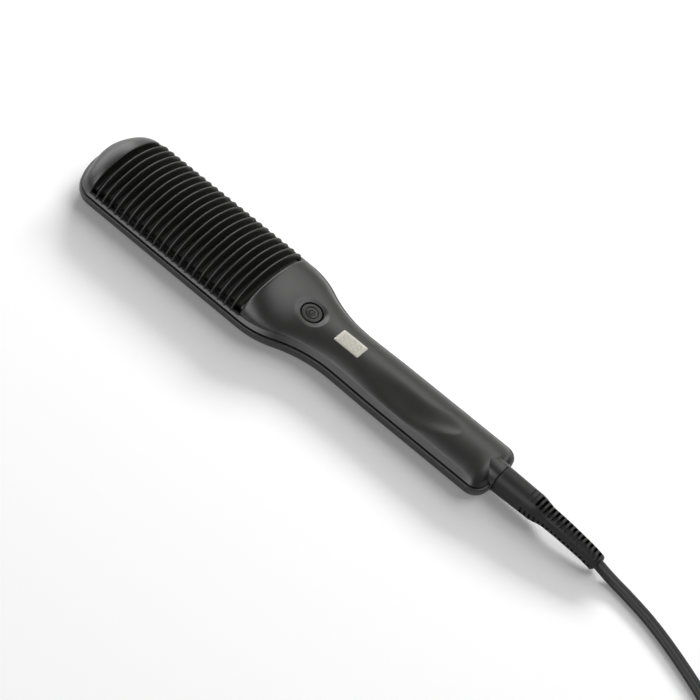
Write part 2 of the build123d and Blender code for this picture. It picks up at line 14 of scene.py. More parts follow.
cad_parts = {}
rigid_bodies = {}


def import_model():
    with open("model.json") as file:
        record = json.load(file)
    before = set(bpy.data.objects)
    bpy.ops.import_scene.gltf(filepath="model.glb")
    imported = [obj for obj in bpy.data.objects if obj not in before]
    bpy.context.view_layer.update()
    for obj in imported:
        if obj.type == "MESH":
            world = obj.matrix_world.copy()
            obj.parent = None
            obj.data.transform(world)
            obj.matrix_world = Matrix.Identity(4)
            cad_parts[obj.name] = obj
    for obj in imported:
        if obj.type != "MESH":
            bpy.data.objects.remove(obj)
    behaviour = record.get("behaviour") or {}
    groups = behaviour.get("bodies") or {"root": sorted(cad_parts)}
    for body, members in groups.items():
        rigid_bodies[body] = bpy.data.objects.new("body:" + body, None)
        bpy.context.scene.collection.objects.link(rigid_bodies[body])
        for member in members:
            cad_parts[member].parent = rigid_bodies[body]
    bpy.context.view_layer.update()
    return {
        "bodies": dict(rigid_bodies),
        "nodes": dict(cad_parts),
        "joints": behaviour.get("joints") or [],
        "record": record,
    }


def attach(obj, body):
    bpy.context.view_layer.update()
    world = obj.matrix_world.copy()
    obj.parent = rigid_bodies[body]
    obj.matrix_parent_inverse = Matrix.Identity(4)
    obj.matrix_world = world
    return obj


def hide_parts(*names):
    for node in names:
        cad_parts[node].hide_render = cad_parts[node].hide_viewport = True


log = logging.getLogger("brush")

MM = 0.001          # metres in a millimetre; every size below is in millimetres
SHARP = 35.0        # edges that turn by more than this many degrees stay sharp
MERGE = 1e-7        # corners closer than this are one corner, in metres
END = 0.03          # how far inside an outline's end its first section stands
TINY = 0.02         # least half width of a section

Object = bpy.types.Object
Point = Sequence[float]
Row = list[tuple[float, float, float]]
Profile = Sequence[tuple[float, float]]
Colour = tuple[float, float, float]
Ramp = tuple[float, float]


# ---------------------------------------------------------------- sums that several pieces use
def smooth_step(t: float) -> float:
    """Smooth rise from 0 at t = 0 to 1 at t = 1."""
    t = min(1.0, max(0.0, t))
    return t * t * (3 - 2 * t)


def ramp(x: float, place: Ramp) -> float:
    """Smooth rise from 0 to 1, from a start over a length that is negative to run towards -X."""
    return smooth_step((x - place[0]) / place[1])


def spaced(start: float, end: float, count: int) -> list[float]:
    """Evenly spaced numbers, both ends included."""
    return [start + (end - start) * k / (count - 1) for k in range(count)]


def crowded(end: float, reach: float, count: int, power: float) -> list[float]:
    """Numbers from an end over a signed reach, closest together at the end."""
    return [end + reach * (k / (count - 1)) ** power for k in range(count)]


def superellipse(half: float, rise: float, power: float, count: int) -> list[tuple[float, float]]:
    """Points of an arch over the middle, from -Y to +Y.

    Args:
        half: half width at the foot.
        rise: height, or depth where it is negative.
        power: fullness; 2 is an ellipse.
        count: number of points.

    Returns:
        (y, z) pairs from foot to foot, both included.
    """
    points = []
    for k in range(count):
        angle = math.pi * k / (count - 1)
        side = math.copysign(abs(math.cos(angle)) ** (2 / power), -math.cos(angle))
        points.append((half * side, rise * max(0.0, math.sin(angle)) ** (2 / power)))
    return points


def rounded_rectangle(centre: Point, size: Point, corner: float,
                      steps: int) -> list[tuple[float, float]]:
    """Outline of a rectangle with rounded corners.

    Args:
        centre: its middle, of which X and Y count.
        size: its length and width.
        corner: radius of its corners.
        steps: steps in each corner.

    Returns:
        (x, y) pairs, once round.
    """
    outline = []
    for quarter, (sx, sy) in enumerate(((1, 1), (-1, 1), (-1, -1), (1, -1))):
        for k in range(steps + 1):
            angle = math.pi / 2 * (quarter + k / steps)
            outline.append((centre[0] + sx * (size[0] / 2 - corner) + corner * math.cos(angle),
                            centre[1] + sy * (size[1] / 2 - corner) + corner * math.sin(angle)))
    return outline


def other_side(row: Row) -> Row:
    """The same points on the other side of the middle plane."""
    return [(x, -y, z) for x, y, z in row]


def turned(spot: Point, angle: float, axis: str) -> Matrix:
    """Frame at a spot, turned about one axis."""
    return Matrix.Translation(spot) @ Matrix.Rotation(angle, 4, axis)


def link(name: str, data: bpy.types.ID) -> Object:
    """Makes an object and links it to the scene.

    Args:
        name: the object's name.
        data: its mesh, curve, light or camera.

    Returns:
        The new object.
    """
    obj = bpy.data.objects.new(name, data)
    bpy.context.scene.collection.objects.link(obj)
    return obj


# ---------------------------------------------------------------- shape of the body
@dataclass(frozen=True)
class BodyShape:
    """Outline and sections of the two shells.

    The outline is a rounded nose, a straight head, two arcs through the shoulder into the
    neck, and a straight grip with a flatter rounded tail.
    """

    nose: float = -136.4
    tail: float = 136.4
    parting: float = 10.0                               # height of the plane between the shells
    lip: float = 1.1                                    # how far the back shell stands out
    head_half: float = 28.3
    grip_half: float = 16.1
    grip_swell: float = 0.45
    swell_run: float = 30.0
    nose_radii: tuple[float, float] = (42.0, 13.0)      # end arc, corner arcs
    tail_radii: tuple[float, float] = (70.0, 6.5)
    shoulder_r: float = 44.0
    neck_start: float = -13.0
    neck_end: float = 38.0
    window: tuple[float, float] = (-120.3, -15.2)       # where the fins lie open
    rim: float = 2.0                                    # crown at the very ends
    head_crown: float = 15.0
    grip_crown: float = 7.5
    nose_power: float = 2.2
    neck_run: float = 36.0
    neck_powers: tuple[float, float] = (1.35, 2.9)
    tail_fall: float = 122.0
    tail_power: float = 2.4
    belly_rim: float = 3.0
    belly_round: float = 10.3
    belly_runs: tuple[float, float] = (22.0, 16.0)      # at the nose, at the tail
    belly_power: float = 3.0
    button_x: float = 10.8
    button_sink: float = 0.9                            # how deep the button's face lies
    display_x: float = 37.0
    axis: float = 9.1                                   # height of the lead's swivel axis
    filler_x: float = -40.0
    filler_z: float = 5.6

    @property
    def neck_angle(self) -> float:
        """Angle that the outline turns through on its way into the neck."""
        return 2 * math.atan2(self.head_half - self.grip_half, self.neck_end - self.neck_start)

    @property
    def button_height(self) -> float:
        """Height of the button's face."""
        return self.parting + self.crown(self.button_x) - self.button_sink

    @staticmethod
    def end_width(inset: float, half: float, end_r: float, corner_r: float) -> float:
        """Half width at a distance in from a rounded end.

        Args:
            inset: distance in from the end.
            half: full half width behind the end.
            end_r: radius of the end arc.
            corner_r: radius of the corner arcs.

        Returns:
            The half width there, 0 outside the end.
        """
        reach = math.sqrt((end_r - corner_r) ** 2 - (half - corner_r) ** 2)
        corner_x = end_r - reach
        touch_x = end_r - end_r * reach / (end_r - corner_r)
        if inset <= 0:
            return 0.0
        if inset < touch_x:
            return math.sqrt(end_r ** 2 - (end_r - inset) ** 2)
        if inset < corner_x:
            return half - corner_r + math.sqrt(corner_r ** 2 - (corner_x - inset) ** 2)
        return half

    def half_width(self, x: float, grow: float = 0.0) -> float:
        """Half width of the parting line.

        Args:
            x: station along the brush.
            grow: how far the outline is moved outward, parallel to itself.

        Returns:
            The half width there, 0 past the ends.
        """
        angle = self.neck_angle
        middle = self.neck_start + self.shoulder_r * math.sin(angle)
        if x < self.neck_start:
            radii = [radius + grow for radius in self.nose_radii]
            return self.end_width(x - self.nose + grow, self.head_half + grow, *radii)
        if x < middle:
            radius = self.shoulder_r + grow
            return self.head_half + grow - radius + math.sqrt(radius ** 2 - (x - self.neck_start) ** 2)
        if x < self.neck_end:
            hollow = (self.neck_end - self.neck_start) / math.sin(angle) - self.shoulder_r - grow
            return self.grip_half + grow + hollow - math.sqrt(hollow ** 2 - (self.neck_end - x) ** 2)
        full = self.grip_half + self.grip_swell * ramp(x, (self.neck_end, self.swell_run))
        radii = [radius + grow for radius in self.tail_radii]
        return self.end_width(self.tail - x + grow, full + grow, *radii)

    @staticmethod
    def rounded(t: float, power: float) -> float:
        """Falls from 1 at t = 0 to 0 at t = 1, flat at first and steep at the end."""
        return max(0.0, 1 - max(0.0, t) ** power) ** (1 / power)

    def crown(self, x: float) -> float:
        """Height of the top shell along the middle.

        Args:
            x: station along the brush.

        Returns:
            The height there, above the parting plane.
        """
        start, end = self.window
        if x < start:
            fall = self.rounded((start - x) / (start - self.nose), self.nose_power)
            return self.rim + (self.head_crown - self.rim) * fall
        if x < end:
            return self.head_crown
        first, second = self.neck_powers
        neck = min(1.0, (x - end) / self.neck_run)
        top = self.grip_crown + (self.head_crown - self.grip_crown) * (1 - neck ** first) ** second
        fall = self.rounded((x - self.tail_fall) / (self.tail - self.tail_fall), self.tail_power)
        return self.rim + (top - self.rim) * fall

    def belly(self, x: float) -> float:
        """Depth of the back shell's curve along the middle.

        Args:
            x: station along the brush.

        Returns:
            The depth there, below the parting plane.
        """
        nose_run, tail_run = self.belly_runs
        nose = self.rounded((self.nose - self.lip + nose_run - x) / nose_run, self.belly_power)
        tail = self.rounded((x - self.tail - self.lip + tail_run) / tail_run, self.belly_power)
        return self.belly_rim + (self.belly_round - self.belly_rim) * min(nose, tail)

    def normal(self, x: float, grow: float = 0.0) -> tuple[float, float]:
        """Inward normal of the outline on the +Y side.

        Args:
            x: station along the brush.
            grow: how far the outline is moved outward.

        Returns:
            The normal's X and Y.
        """
        step = 0.02
        low, high = self.half_width(x - step, grow), self.half_width(x + step, grow)
        if low <= 0:
            return 1.0, 0.0
        if high <= 0:
            return -1.0, 0.0
        slope = (high - low) / (2 * step)
        size = math.hypot(1, slope)
        return slope / size, -1 / size


SHAPE = BodyShape()


# ---------------------------------------------------------------- meshes
class Mesher:
    """Turns rows of points in millimetres into smooth mesh objects in metres."""

    @staticmethod
    def from_lists(name: str, points: Iterable[Point], faces: Iterable[Sequence[int]],
                   sharp: float = SHARP) -> Object:
        """Makes an object from points and faces.

        Args:
            name: the object's name.
            points: its corners.
            faces: corner numbers of each face.
            sharp: edges that turn by more than this many degrees stay sharp.

        Returns:
            The new object, in the scene.
        """
        mesh = bpy.data.meshes.new(name)
        mesh.from_pydata([Vector(p) * MM for p in points], [], [list(f) for f in faces])
        mesh.validate()
        obj = link(name, mesh)
        Mesher.clean(obj, sharp)
        return obj

    @staticmethod
    def smooth(mesh: bpy.types.Mesh, sharp: float) -> None:
        """Shades a mesh smooth between its sharp edges."""
        mesh.polygons.foreach_set("use_smooth", [True] * len(mesh.polygons))
        mesh.set_sharp_from_angle(angle=math.radians(sharp))

    @staticmethod
    def clean(obj: Object, sharp: float) -> None:
        """Joins doubled corners, turns the faces outward and shades them smooth.

        Args:
            obj: the object to clean.
            sharp: edges that turn by more than this many degrees stay sharp.
        """
        work = bmesh.new()
        work.from_mesh(obj.data)
        bmesh.ops.remove_doubles(work, verts=work.verts, dist=MERGE)
        bmesh.ops.dissolve_degenerate(work, dist=MERGE, edges=work.edges)
        bmesh.ops.recalc_face_normals(work, faces=work.faces)
        work.to_mesh(obj.data)
        work.free()
        Mesher.smooth(obj.data, sharp)

    @staticmethod
    def skin(name: str, rows: Sequence[Row], solid: bool = True, sharp: float = SHARP) -> Object:
        """Skins rows of points.

        Args:
            name: the object's name.
            rows: rows with the same number of points each.
            solid: whether each row is a ring and the first and last ones are filled.
            sharp: edges that turn by more than this many degrees stay sharp.

        Returns:
            The new object.
        """
        width = len(rows[0])
        faces = []
        for r in range(len(rows) - 1):
            for c in range(width if solid else width - 1):
                d = (c + 1) % width
                faces.append((r * width + c, r * width + d, (r + 1) * width + d, (r + 1) * width + c))
        if solid:
            faces.append(tuple(range(width)))
            faces.append(tuple(range((len(rows) - 1) * width, len(rows) * width)))
        return Mesher.from_lists(name, [p for row in rows for p in row], faces, sharp)

    @staticmethod
    def lathe(name: str, profile: Profile, frame: Matrix, steps: int) -> Object:
        """Turns a profile round a frame's Z axis.

        Args:
            name: the object's name.
            profile: (radius, height) pairs, closed by the axis or by themselves.
            frame: where the axis lies.
            steps: steps in a turn.

        Returns:
            The new object.
        """
        rows = []
        for k in range(steps + 1):
            angle = 2 * math.pi * k / steps
            rows.append([tuple(frame @ Vector((r * math.cos(angle), r * math.sin(angle), h)))
                         for r, h in profile])
        return Mesher.skin(name, rows, solid=False)

    @staticmethod
    def bake(obj: Object, sharp: float = SHARP) -> None:
        """Applies an object's modifiers to its mesh.

        Args:
            obj: the object.
            sharp: edges that turn by more than this many degrees stay sharp.
        """
        view = bpy.context.evaluated_depsgraph_get()
        mesh = bpy.data.meshes.new_from_object(obj.evaluated_get(view))
        obj.modifiers.clear()
        obj.data = mesh
        Mesher.clean(obj, sharp)

    @staticmethod
    def cut(obj: Object, *tools: Object) -> Object:
        """Takes closed solids out of an object.

        Args:
            obj: the object to cut.
            tools: the solids, which are removed afterwards.

        Returns:
            The object.
        """
        for tool in tools:
            modifier = obj.modifiers.new("cut", "BOOLEAN")
            modifier.operation, modifier.solver, modifier.object = "DIFFERENCE", "EXACT", tool
        Mesher.bake(obj)
        for tool in tools:
            bpy.data.objects.remove(tool)
        return obj

    @staticmethod
    def bevel(obj: Object, width: float, segments: int, angle: float = SHARP) -> None:
        """Rounds an object's sharp edges.

        Args:
            obj: the object.
            width: width of the rounding.
            segments: faces across the rounding.
            angle: edges that turn by more than this many degrees are rounded.
        """
        shaded_sharp = 60.0
        modifier = obj.modifiers.new("bevel", "BEVEL")
        modifier.width, modifier.segments = width * MM, segments
        modifier.limit_method, modifier.angle_limit = "ANGLE", math.radians(angle)
        modifier.harden_normals = False
        Mesher.bake(obj, shaded_sharp)

    @staticmethod
    def join(name: str, parts: Sequence[Object]) -> Object:
        """Joins several objects into one.

        Args:
            name: the new object's name.
            parts: the objects, which are removed afterwards.

        Returns:
            The new object.
        """
        work = bmesh.new()
        for part in parts:
            work.from_mesh(part.data)
        mesh = bpy.data.meshes.new(name)
        work.to_mesh(mesh)
        work.free()
        obj = link(name, mesh)
        for part in parts:
            bpy.data.objects.remove(part)
        Mesher.smooth(mesh, SHARP)
        return obj

    @staticmethod
    def box(name: str, centre: Point, size: Point, frame: Matrix | None = None) -> Object:
        """Makes a box.

        Args:
            name: the object's name.
            centre: its middle.
            size: its three sizes.
            frame: the frame that it stands in, if it isn't the brush's own.

        Returns:
            The new object.
        """
        turn = frame or Matrix.Identity(4)
        corners = []
        for k in range(8):
            signs = (k & 1, k >> 1 & 1, k >> 2 & 1)
            corners.append(turn @ Vector([c + (s - 0.5) * w for c, s, w in zip(centre, signs, size)]))
        faces = [(0, 1, 3, 2), (4, 5, 7, 6), (0, 1, 5, 4), (2, 3, 7, 6), (0, 2, 6, 4), (1, 3, 7, 5)]
        return Mesher.from_lists(name, corners, faces)


# ---------------------------------------------------------------- materials
class Signal:
    """One output of a node, which arithmetic combines with others."""

    def __init__(self, graph: "Graph", socket: bpy.types.NodeSocket) -> None:
        """Keeps the output and the graph that it is in."""
        self.graph, self.socket = graph, socket

    def combine(self, operation: str, first: "Signal | float", second: "Signal | float") -> "Signal":
        """Adds a Math node for two values."""
        return self.graph.node("ShaderNodeMath", {"operation": operation}, {0: first, 1: second})

    def __add__(self, other: "Signal | float") -> "Signal":
        """Signal plus a value."""
        return self.combine("ADD", self, other)

    def __radd__(self, other: float) -> "Signal":
        """Value plus the signal."""
        return self.combine("ADD", other, self)

    def __sub__(self, other: "Signal | float") -> "Signal":
        """Signal less a value."""
        return self.combine("SUBTRACT", self, other)

    def __rsub__(self, other: float) -> "Signal":
        """Value less the signal."""
        return self.combine("SUBTRACT", other, self)

    def __mul__(self, other: "Signal | float") -> "Signal":
        """Signal times a value."""
        return self.combine("MULTIPLY", self, other)

    def __rmul__(self, other: float) -> "Signal":
        """Value times the signal."""
        return self.combine("MULTIPLY", other, self)


class Graph:
    """Node tree of a material or of the world."""

    def __init__(self, owner: bpy.types.Material | bpy.types.World,
                 shader: str = "Principled BSDF") -> None:
        """Opens the owner's node tree.

        Args:
            owner: the material or world.
            shader: the name of the shader that its tree starts with.
        """
        owner.use_nodes = True
        self.tree = owner.node_tree
        self.shader = self.tree.nodes[shader]

    def node(self, kind: str, settings: dict | None = None, inputs: dict | None = None,
             output: int | str = 0) -> Signal:
        """Adds a node.

        Args:
            kind: the node's type name.
            settings: attributes to set on it.
            inputs: its inputs by name or number, as signals or constants.
            output: which output to hand on.

        Returns:
            That output, as a signal.
        """
        node = self.tree.nodes.new(kind)
        for key, value in (settings or {}).items():
            setattr(node, key, value)
        for key, value in (inputs or {}).items():
            self.feed(node.inputs[key], value)
        return Signal(self, node.outputs[output])

    def feed(self, socket: bpy.types.NodeSocket, value: object) -> None:
        """Links a signal to an input, or sets a constant on it.

        Args:
            socket: the input.
            value: a signal, a number, a colour or a vector.
        """
        if isinstance(value, Signal):
            self.tree.links.new(value.socket, socket)
        elif isinstance(value, tuple) and len(value) == 3 and socket.type == "RGBA":
            socket.default_value = (*value, 1.0)
        else:
            socket.default_value = value

    def shade(self, inputs: dict[str, object]) -> None:
        """Sets or links inputs of the shader itself."""
        for key, value in inputs.items():
            self.feed(self.shader.inputs[key], value)

    def noise(self, size_mm: float, detail: float, rough: float) -> Signal:
        """Noise that is fixed to the object.

        Args:
            size_mm: size of its features, in millimetres.
            detail: how many finer layers it has.
            rough: how strong they are.

        Returns:
            The noise, from 0 to 1.
        """
        spot = self.node("ShaderNodeTexCoord", output="Object")
        return self.node("ShaderNodeTexNoise", None, {
            "Vector": spot, "Scale": 1.0 / (size_mm * MM), "Detail": detail, "Roughness": rough})

    def blend(self, factor: Signal, low: Colour, high: Colour) -> Signal:
        """Mixes two colours by a signal; 6 and 7 are the node's colour inputs, 2 its colour output."""
        return self.node("ShaderNodeMix", {"data_type": "RGBA"}, {0: factor, 6: low, 7: high}, 2)

    def bump(self, height: Signal, depth_mm: float) -> Signal:
        """Normal from a height signal of a depth."""
        return self.node("ShaderNodeBump", None, {
            "Height": height, "Distance": depth_mm * MM, "Strength": 1.0}, "Normal")


@dataclass(frozen=True)
class Moulded:
    """A moulded or coated surface: two close shades, a fine grain and uneven gloss."""

    name: str
    low: Colour
    high: Colour
    rough: tuple[float, float] = (0.45, 0.6)
    grain_mm: float = 0.35
    grain_depth: float = 0.012
    patch_mm: float = 9.0
    metal: float = 0.0
    specular: float = 0.5
    coat: float = 0.0
    coat_rough: float = 0.25
    patch_share: float = 0.7
    grain_share: float = 0.3

    def make(self) -> bpy.types.Material:
        """Builds the material.

        Returns:
            The new material.
        """
        material = bpy.data.materials.new(self.name)
        graph = Graph(material)
        patch = graph.noise(self.patch_mm, detail=3.0, rough=0.55)
        grain = graph.noise(self.grain_mm, detail=2.0, rough=0.6)
        tone = patch * self.patch_share + grain * self.grain_share
        low, high = self.rough
        graph.shade({
            "Base Color": graph.blend(tone, self.low, self.high),
            "Roughness": tone * (high - low) + low,
            "Normal": graph.bump(grain, self.grain_depth),
            "Metallic": self.metal,
            "Specular IOR Level": self.specular,
            "Coat Weight": self.coat,
            "Coat Roughness": self.coat_rough})
        return material


class Finish(Enum):
    """Every finish on the brush."""

    HOUSING = Moulded("matte_housing", (0.0118, 0.0117, 0.0108), (0.0150, 0.0148, 0.0137),
                      (0.34, 0.42), 0.22, 0.006, specular=0.7)
    FINS = Moulded("matte_fins", (0.0180, 0.0176, 0.0164), (0.0230, 0.0226, 0.0210),
                   (0.38, 0.5), 0.2, 0.006)
    PLATE = Moulded("dark_plate", (0.0240, 0.0236, 0.0220), (0.0300, 0.0294, 0.0275),
                    (0.45, 0.6), 0.4, 0.01)
    COLLAR = Moulded("matte_collar", (0.0120, 0.0118, 0.0112), (0.0160, 0.0158, 0.0150), (0.4, 0.5))
    BUTTON = Moulded("matte_button", (0.0200, 0.0197, 0.0184), (0.0250, 0.0246, 0.0230),
                     (0.38, 0.46), 0.2, 0.005)
    MARK = Moulded("raised_mark", (0.0030, 0.0030, 0.0029), (0.0040, 0.0040, 0.0038), (0.6, 0.7),
                   specular=0.2)
    LENS = Moulded("pale_lens", (0.50, 0.485, 0.418), (0.535, 0.52, 0.45), (0.2, 0.26), 1.2, 0.001,
                   14.0, coat=0.5, coat_rough=0.08)
    DIGIT = Moulded("faint_digit", (0.385, 0.372, 0.32), (0.41, 0.397, 0.342), (0.3, 0.35), 1.0, 0.001)
    RELIEF = Moulded("matte_relief", (0.0080, 0.0079, 0.0074), (0.0105, 0.0103, 0.0097),
                     (0.44, 0.54), 0.25, 0.008, specular=0.42)
    CORD = Moulded("matte_lead", (0.0090, 0.0088, 0.0084), (0.0125, 0.0123, 0.0117),
                   (0.45, 0.55), 0.3, 0.01)
    RUBBER = Moulded("matte_rubber", (0.0180, 0.0178, 0.0172), (0.0260, 0.0258, 0.0250),
                     (0.6, 0.75), 0.3, 0.012)
    STEEL = Moulded("dull_steel", (0.55, 0.55, 0.54), (0.64, 0.64, 0.63), (0.28, 0.4), 0.3, 0.004,
                    metal=1.0)
    BRASS = Moulded("drawn_brass", (0.72, 0.60, 0.34), (0.80, 0.68, 0.40), (0.22, 0.34), 0.3, 0.003,
                    metal=1.0)
    ALUMINIUM = Moulded("dull_aluminium", (0.6, 0.6, 0.6), (0.7, 0.7, 0.7), (0.35, 0.5), 0.3, 0.006,
                        metal=1.0)
    BOARD = Moulded("green_board", (0.02, 0.10, 0.045), (0.03, 0.14, 0.06), (0.3, 0.4), 0.3, 0.003,
                    3.0, coat=0.4)
    SLEEVE = Moulded("woven_sleeve", (0.62, 0.60, 0.54), (0.74, 0.72, 0.66), (0.6, 0.75), 0.25, 0.02)
    TAN = Moulded("tan_moulding", (0.45, 0.36, 0.22), (0.52, 0.42, 0.28), (0.45, 0.6), 0.4, 0.01)
    TANK = Moulded("milky_tank", (0.66, 0.67, 0.66), (0.74, 0.75, 0.74), (0.2, 0.3), 0.5, 0.004)
    FELT = Moulded("pale_felt", (0.66, 0.64, 0.58), (0.8, 0.78, 0.72), (0.85, 0.95), 0.15, 0.06)

    def material(self) -> bpy.types.Material:
        """The finish's material, made once.

        Returns:
            The material.
        """
        if self not in MADE:
            MADE[self] = self.value.make()
        return MADE[self]

    def dress(self, obj: Object) -> None:
        """Gives an object this finish all over."""
        obj.data.materials.clear()
        obj.data.materials.append(self.material())


MADE: dict[Finish, bpy.types.Material] = {}


def place(obj: Object, finish: Finish, body: str, slot: str, *nodes: str) -> None:
    """Finishes a piece, lets it ride on a body and hides the nodes that it replaces.

    Args:
        obj: the piece.
        finish: its finish.
        body: the body that it moves with.
        slot: the record's material slot; not used.
        nodes: the nodes that it replaces, if any.
    """
    finish.dress(obj)
    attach(obj, body)
    if nodes:
        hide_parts(*nodes)
    log.info("piece %s: %d faces, %s, on %s", obj.name, len(obj.data.polygons), finish.name, body)


# ---------------------------------------------------------------- camera and light
@dataclass(frozen=True)
class SoftBox:
    """Area light that looks at the middle of the brush.

    The azimuth runs from +Y towards +X and the height up from the floor, in degrees. The
    radiance is how bright its face is, where 1 is white. Glossy surfaces show it if it is
    mirrored, and it lights all others if it is diffuse.
    """

    name: str
    azimuth: float
    height: float
    size: tuple[float, float]
    radiance: float
    mirrored: bool = True
    diffuse: bool = True
    aim: Point = (30.0, 0.0, 10.0)
    distance: float = 2400.0

    def build(self) -> None:
        """Adds the light."""
        data = bpy.data.lights.new(self.name, "AREA")
        data.shape, data.size, data.size_y = "RECTANGLE", self.size[0] * MM, self.size[1] * MM
        data.energy = self.radiance * math.pi * data.size * data.size_y
        turn, tilt = math.radians(self.azimuth), math.radians(self.height)
        aim = Vector(self.aim) * MM
        way = Vector((math.sin(turn) * math.cos(tilt), math.cos(turn) * math.cos(tilt), math.sin(tilt)))
        spot = aim + self.distance * MM * way
        facing = (aim - spot).to_track_quat("-Z", "Y").to_matrix().to_4x4()
        obj = link(self.name, data)
        obj.matrix_world = Matrix.Translation(spot) @ facing
        obj.visible_glossy, obj.visible_diffuse = self.mirrored, self.diffuse


@dataclass
class Studio:
    """Camera, pale floor and soft light."""

    target: Point = (39.16, -3.19, 17.0)
    eye: Point = (306.5, -559.61, 757.09)
    roll: float = 18.9
    lens: float = 99.13
    sensor: float = 36.0
    floor_size: float = 6000.0
    floor_drop: float = 0.02
    floor_shade: float = 0.86
    floor_rough: float = 0.6
    floor_glow: float = 0.18
    walls: tuple[float, float, float, float] = (0.4, 0.9, 0.22, 0.07)   # from, to, pale, dark
    boxes: tuple[SoftBox, ...] = (
        SoftBox("back", -8.0, 39.0, (3200, 1150), 1.6),
        SoftBox("back_right", 44.0, 57.0, (1500, 1400), 2.7),
        SoftBox("back_left", -74.0, 24.0, (3000, 1600), 2.9, diffuse=False),
        SoftBox("front", -155.0, 44.0, (2100, 1300), 3.8, diffuse=False),
        SoftBox("low_back", -18.0, 22.0, (1600, 420), 38.0, mirrored=False))

    def camera(self) -> None:
        """Makes the camera and the scene's colour settings."""
        data = bpy.data.cameras.new("camera")
        data.lens, data.sensor_width = self.lens, self.sensor
        target, eye = Vector(self.target) * MM, Vector(self.eye) * MM
        forward = (target - eye).normalized()
        right = forward.cross(Vector((0, 0, 1))).normalized()
        up = right.cross(forward)
        turn = math.radians(self.roll)
        tilted = right * math.cos(turn) + up * math.sin(turn)
        upright = up * math.cos(turn) - right * math.sin(turn)
        frame = Matrix((tilted, upright, -forward)).transposed().to_4x4()
        obj = link("camera", data)
        obj.matrix_world = Matrix.Translation(eye) @ frame
        bpy.context.scene.camera = obj
        bpy.context.scene.view_settings.view_transform = "Standard"

    def floor(self) -> None:
        """Pale floor that takes the shadow, and glows a little where it is seen or mirrored."""
        far = self.floor_size
        corners = [(-far, -far, 0), (far, -far, 0), (far, far, 0), (-far, far, 0)]
        floor = Mesher.from_lists("floor", corners, [(0, 1, 2, 3)])
        floor.location.z = -self.floor_drop * MM
        material = bpy.data.materials.new("floor")
        graph = Graph(material)
        seen = graph.node("ShaderNodeLightPath", output="Is Camera Ray")
        for ray in ("Is Glossy Ray", "Is Transmission Ray"):
            seen = graph.node("ShaderNodeMath", {"operation": "MAXIMUM"},
                              {0: seen, 1: graph.node("ShaderNodeLightPath", output=ray)})
        graph.shade({
            "Base Color": (self.floor_shade,) * 3, "Roughness": self.floor_rough,
            "Specular IOR Level": 0.0, "Emission Color": seen, "Emission Strength": self.floor_glow})
        floor.data.materials.append(material)

    def lights(self) -> None:
        """Pale walls all round that darken upwards, and soft boxes behind and in front."""
        world = bpy.data.worlds.new("world")
        bpy.context.scene.world = world
        graph = Graph(world, "Background")
        way = graph.node("ShaderNodeTexCoord", output="Generated")
        height = graph.node("ShaderNodeSeparateXYZ", None, {0: way}, 2)
        low, high, pale, dark = self.walls
        graph.shade({
            "Color": graph.node("ShaderNodeMapRange", {"interpolation_type": "SMOOTHSTEP"},
                                {0: height, 1: low, 2: high, 3: pale, 4: dark}),
            "Strength": 1.0})
        for box in self.boxes:
            box.build()


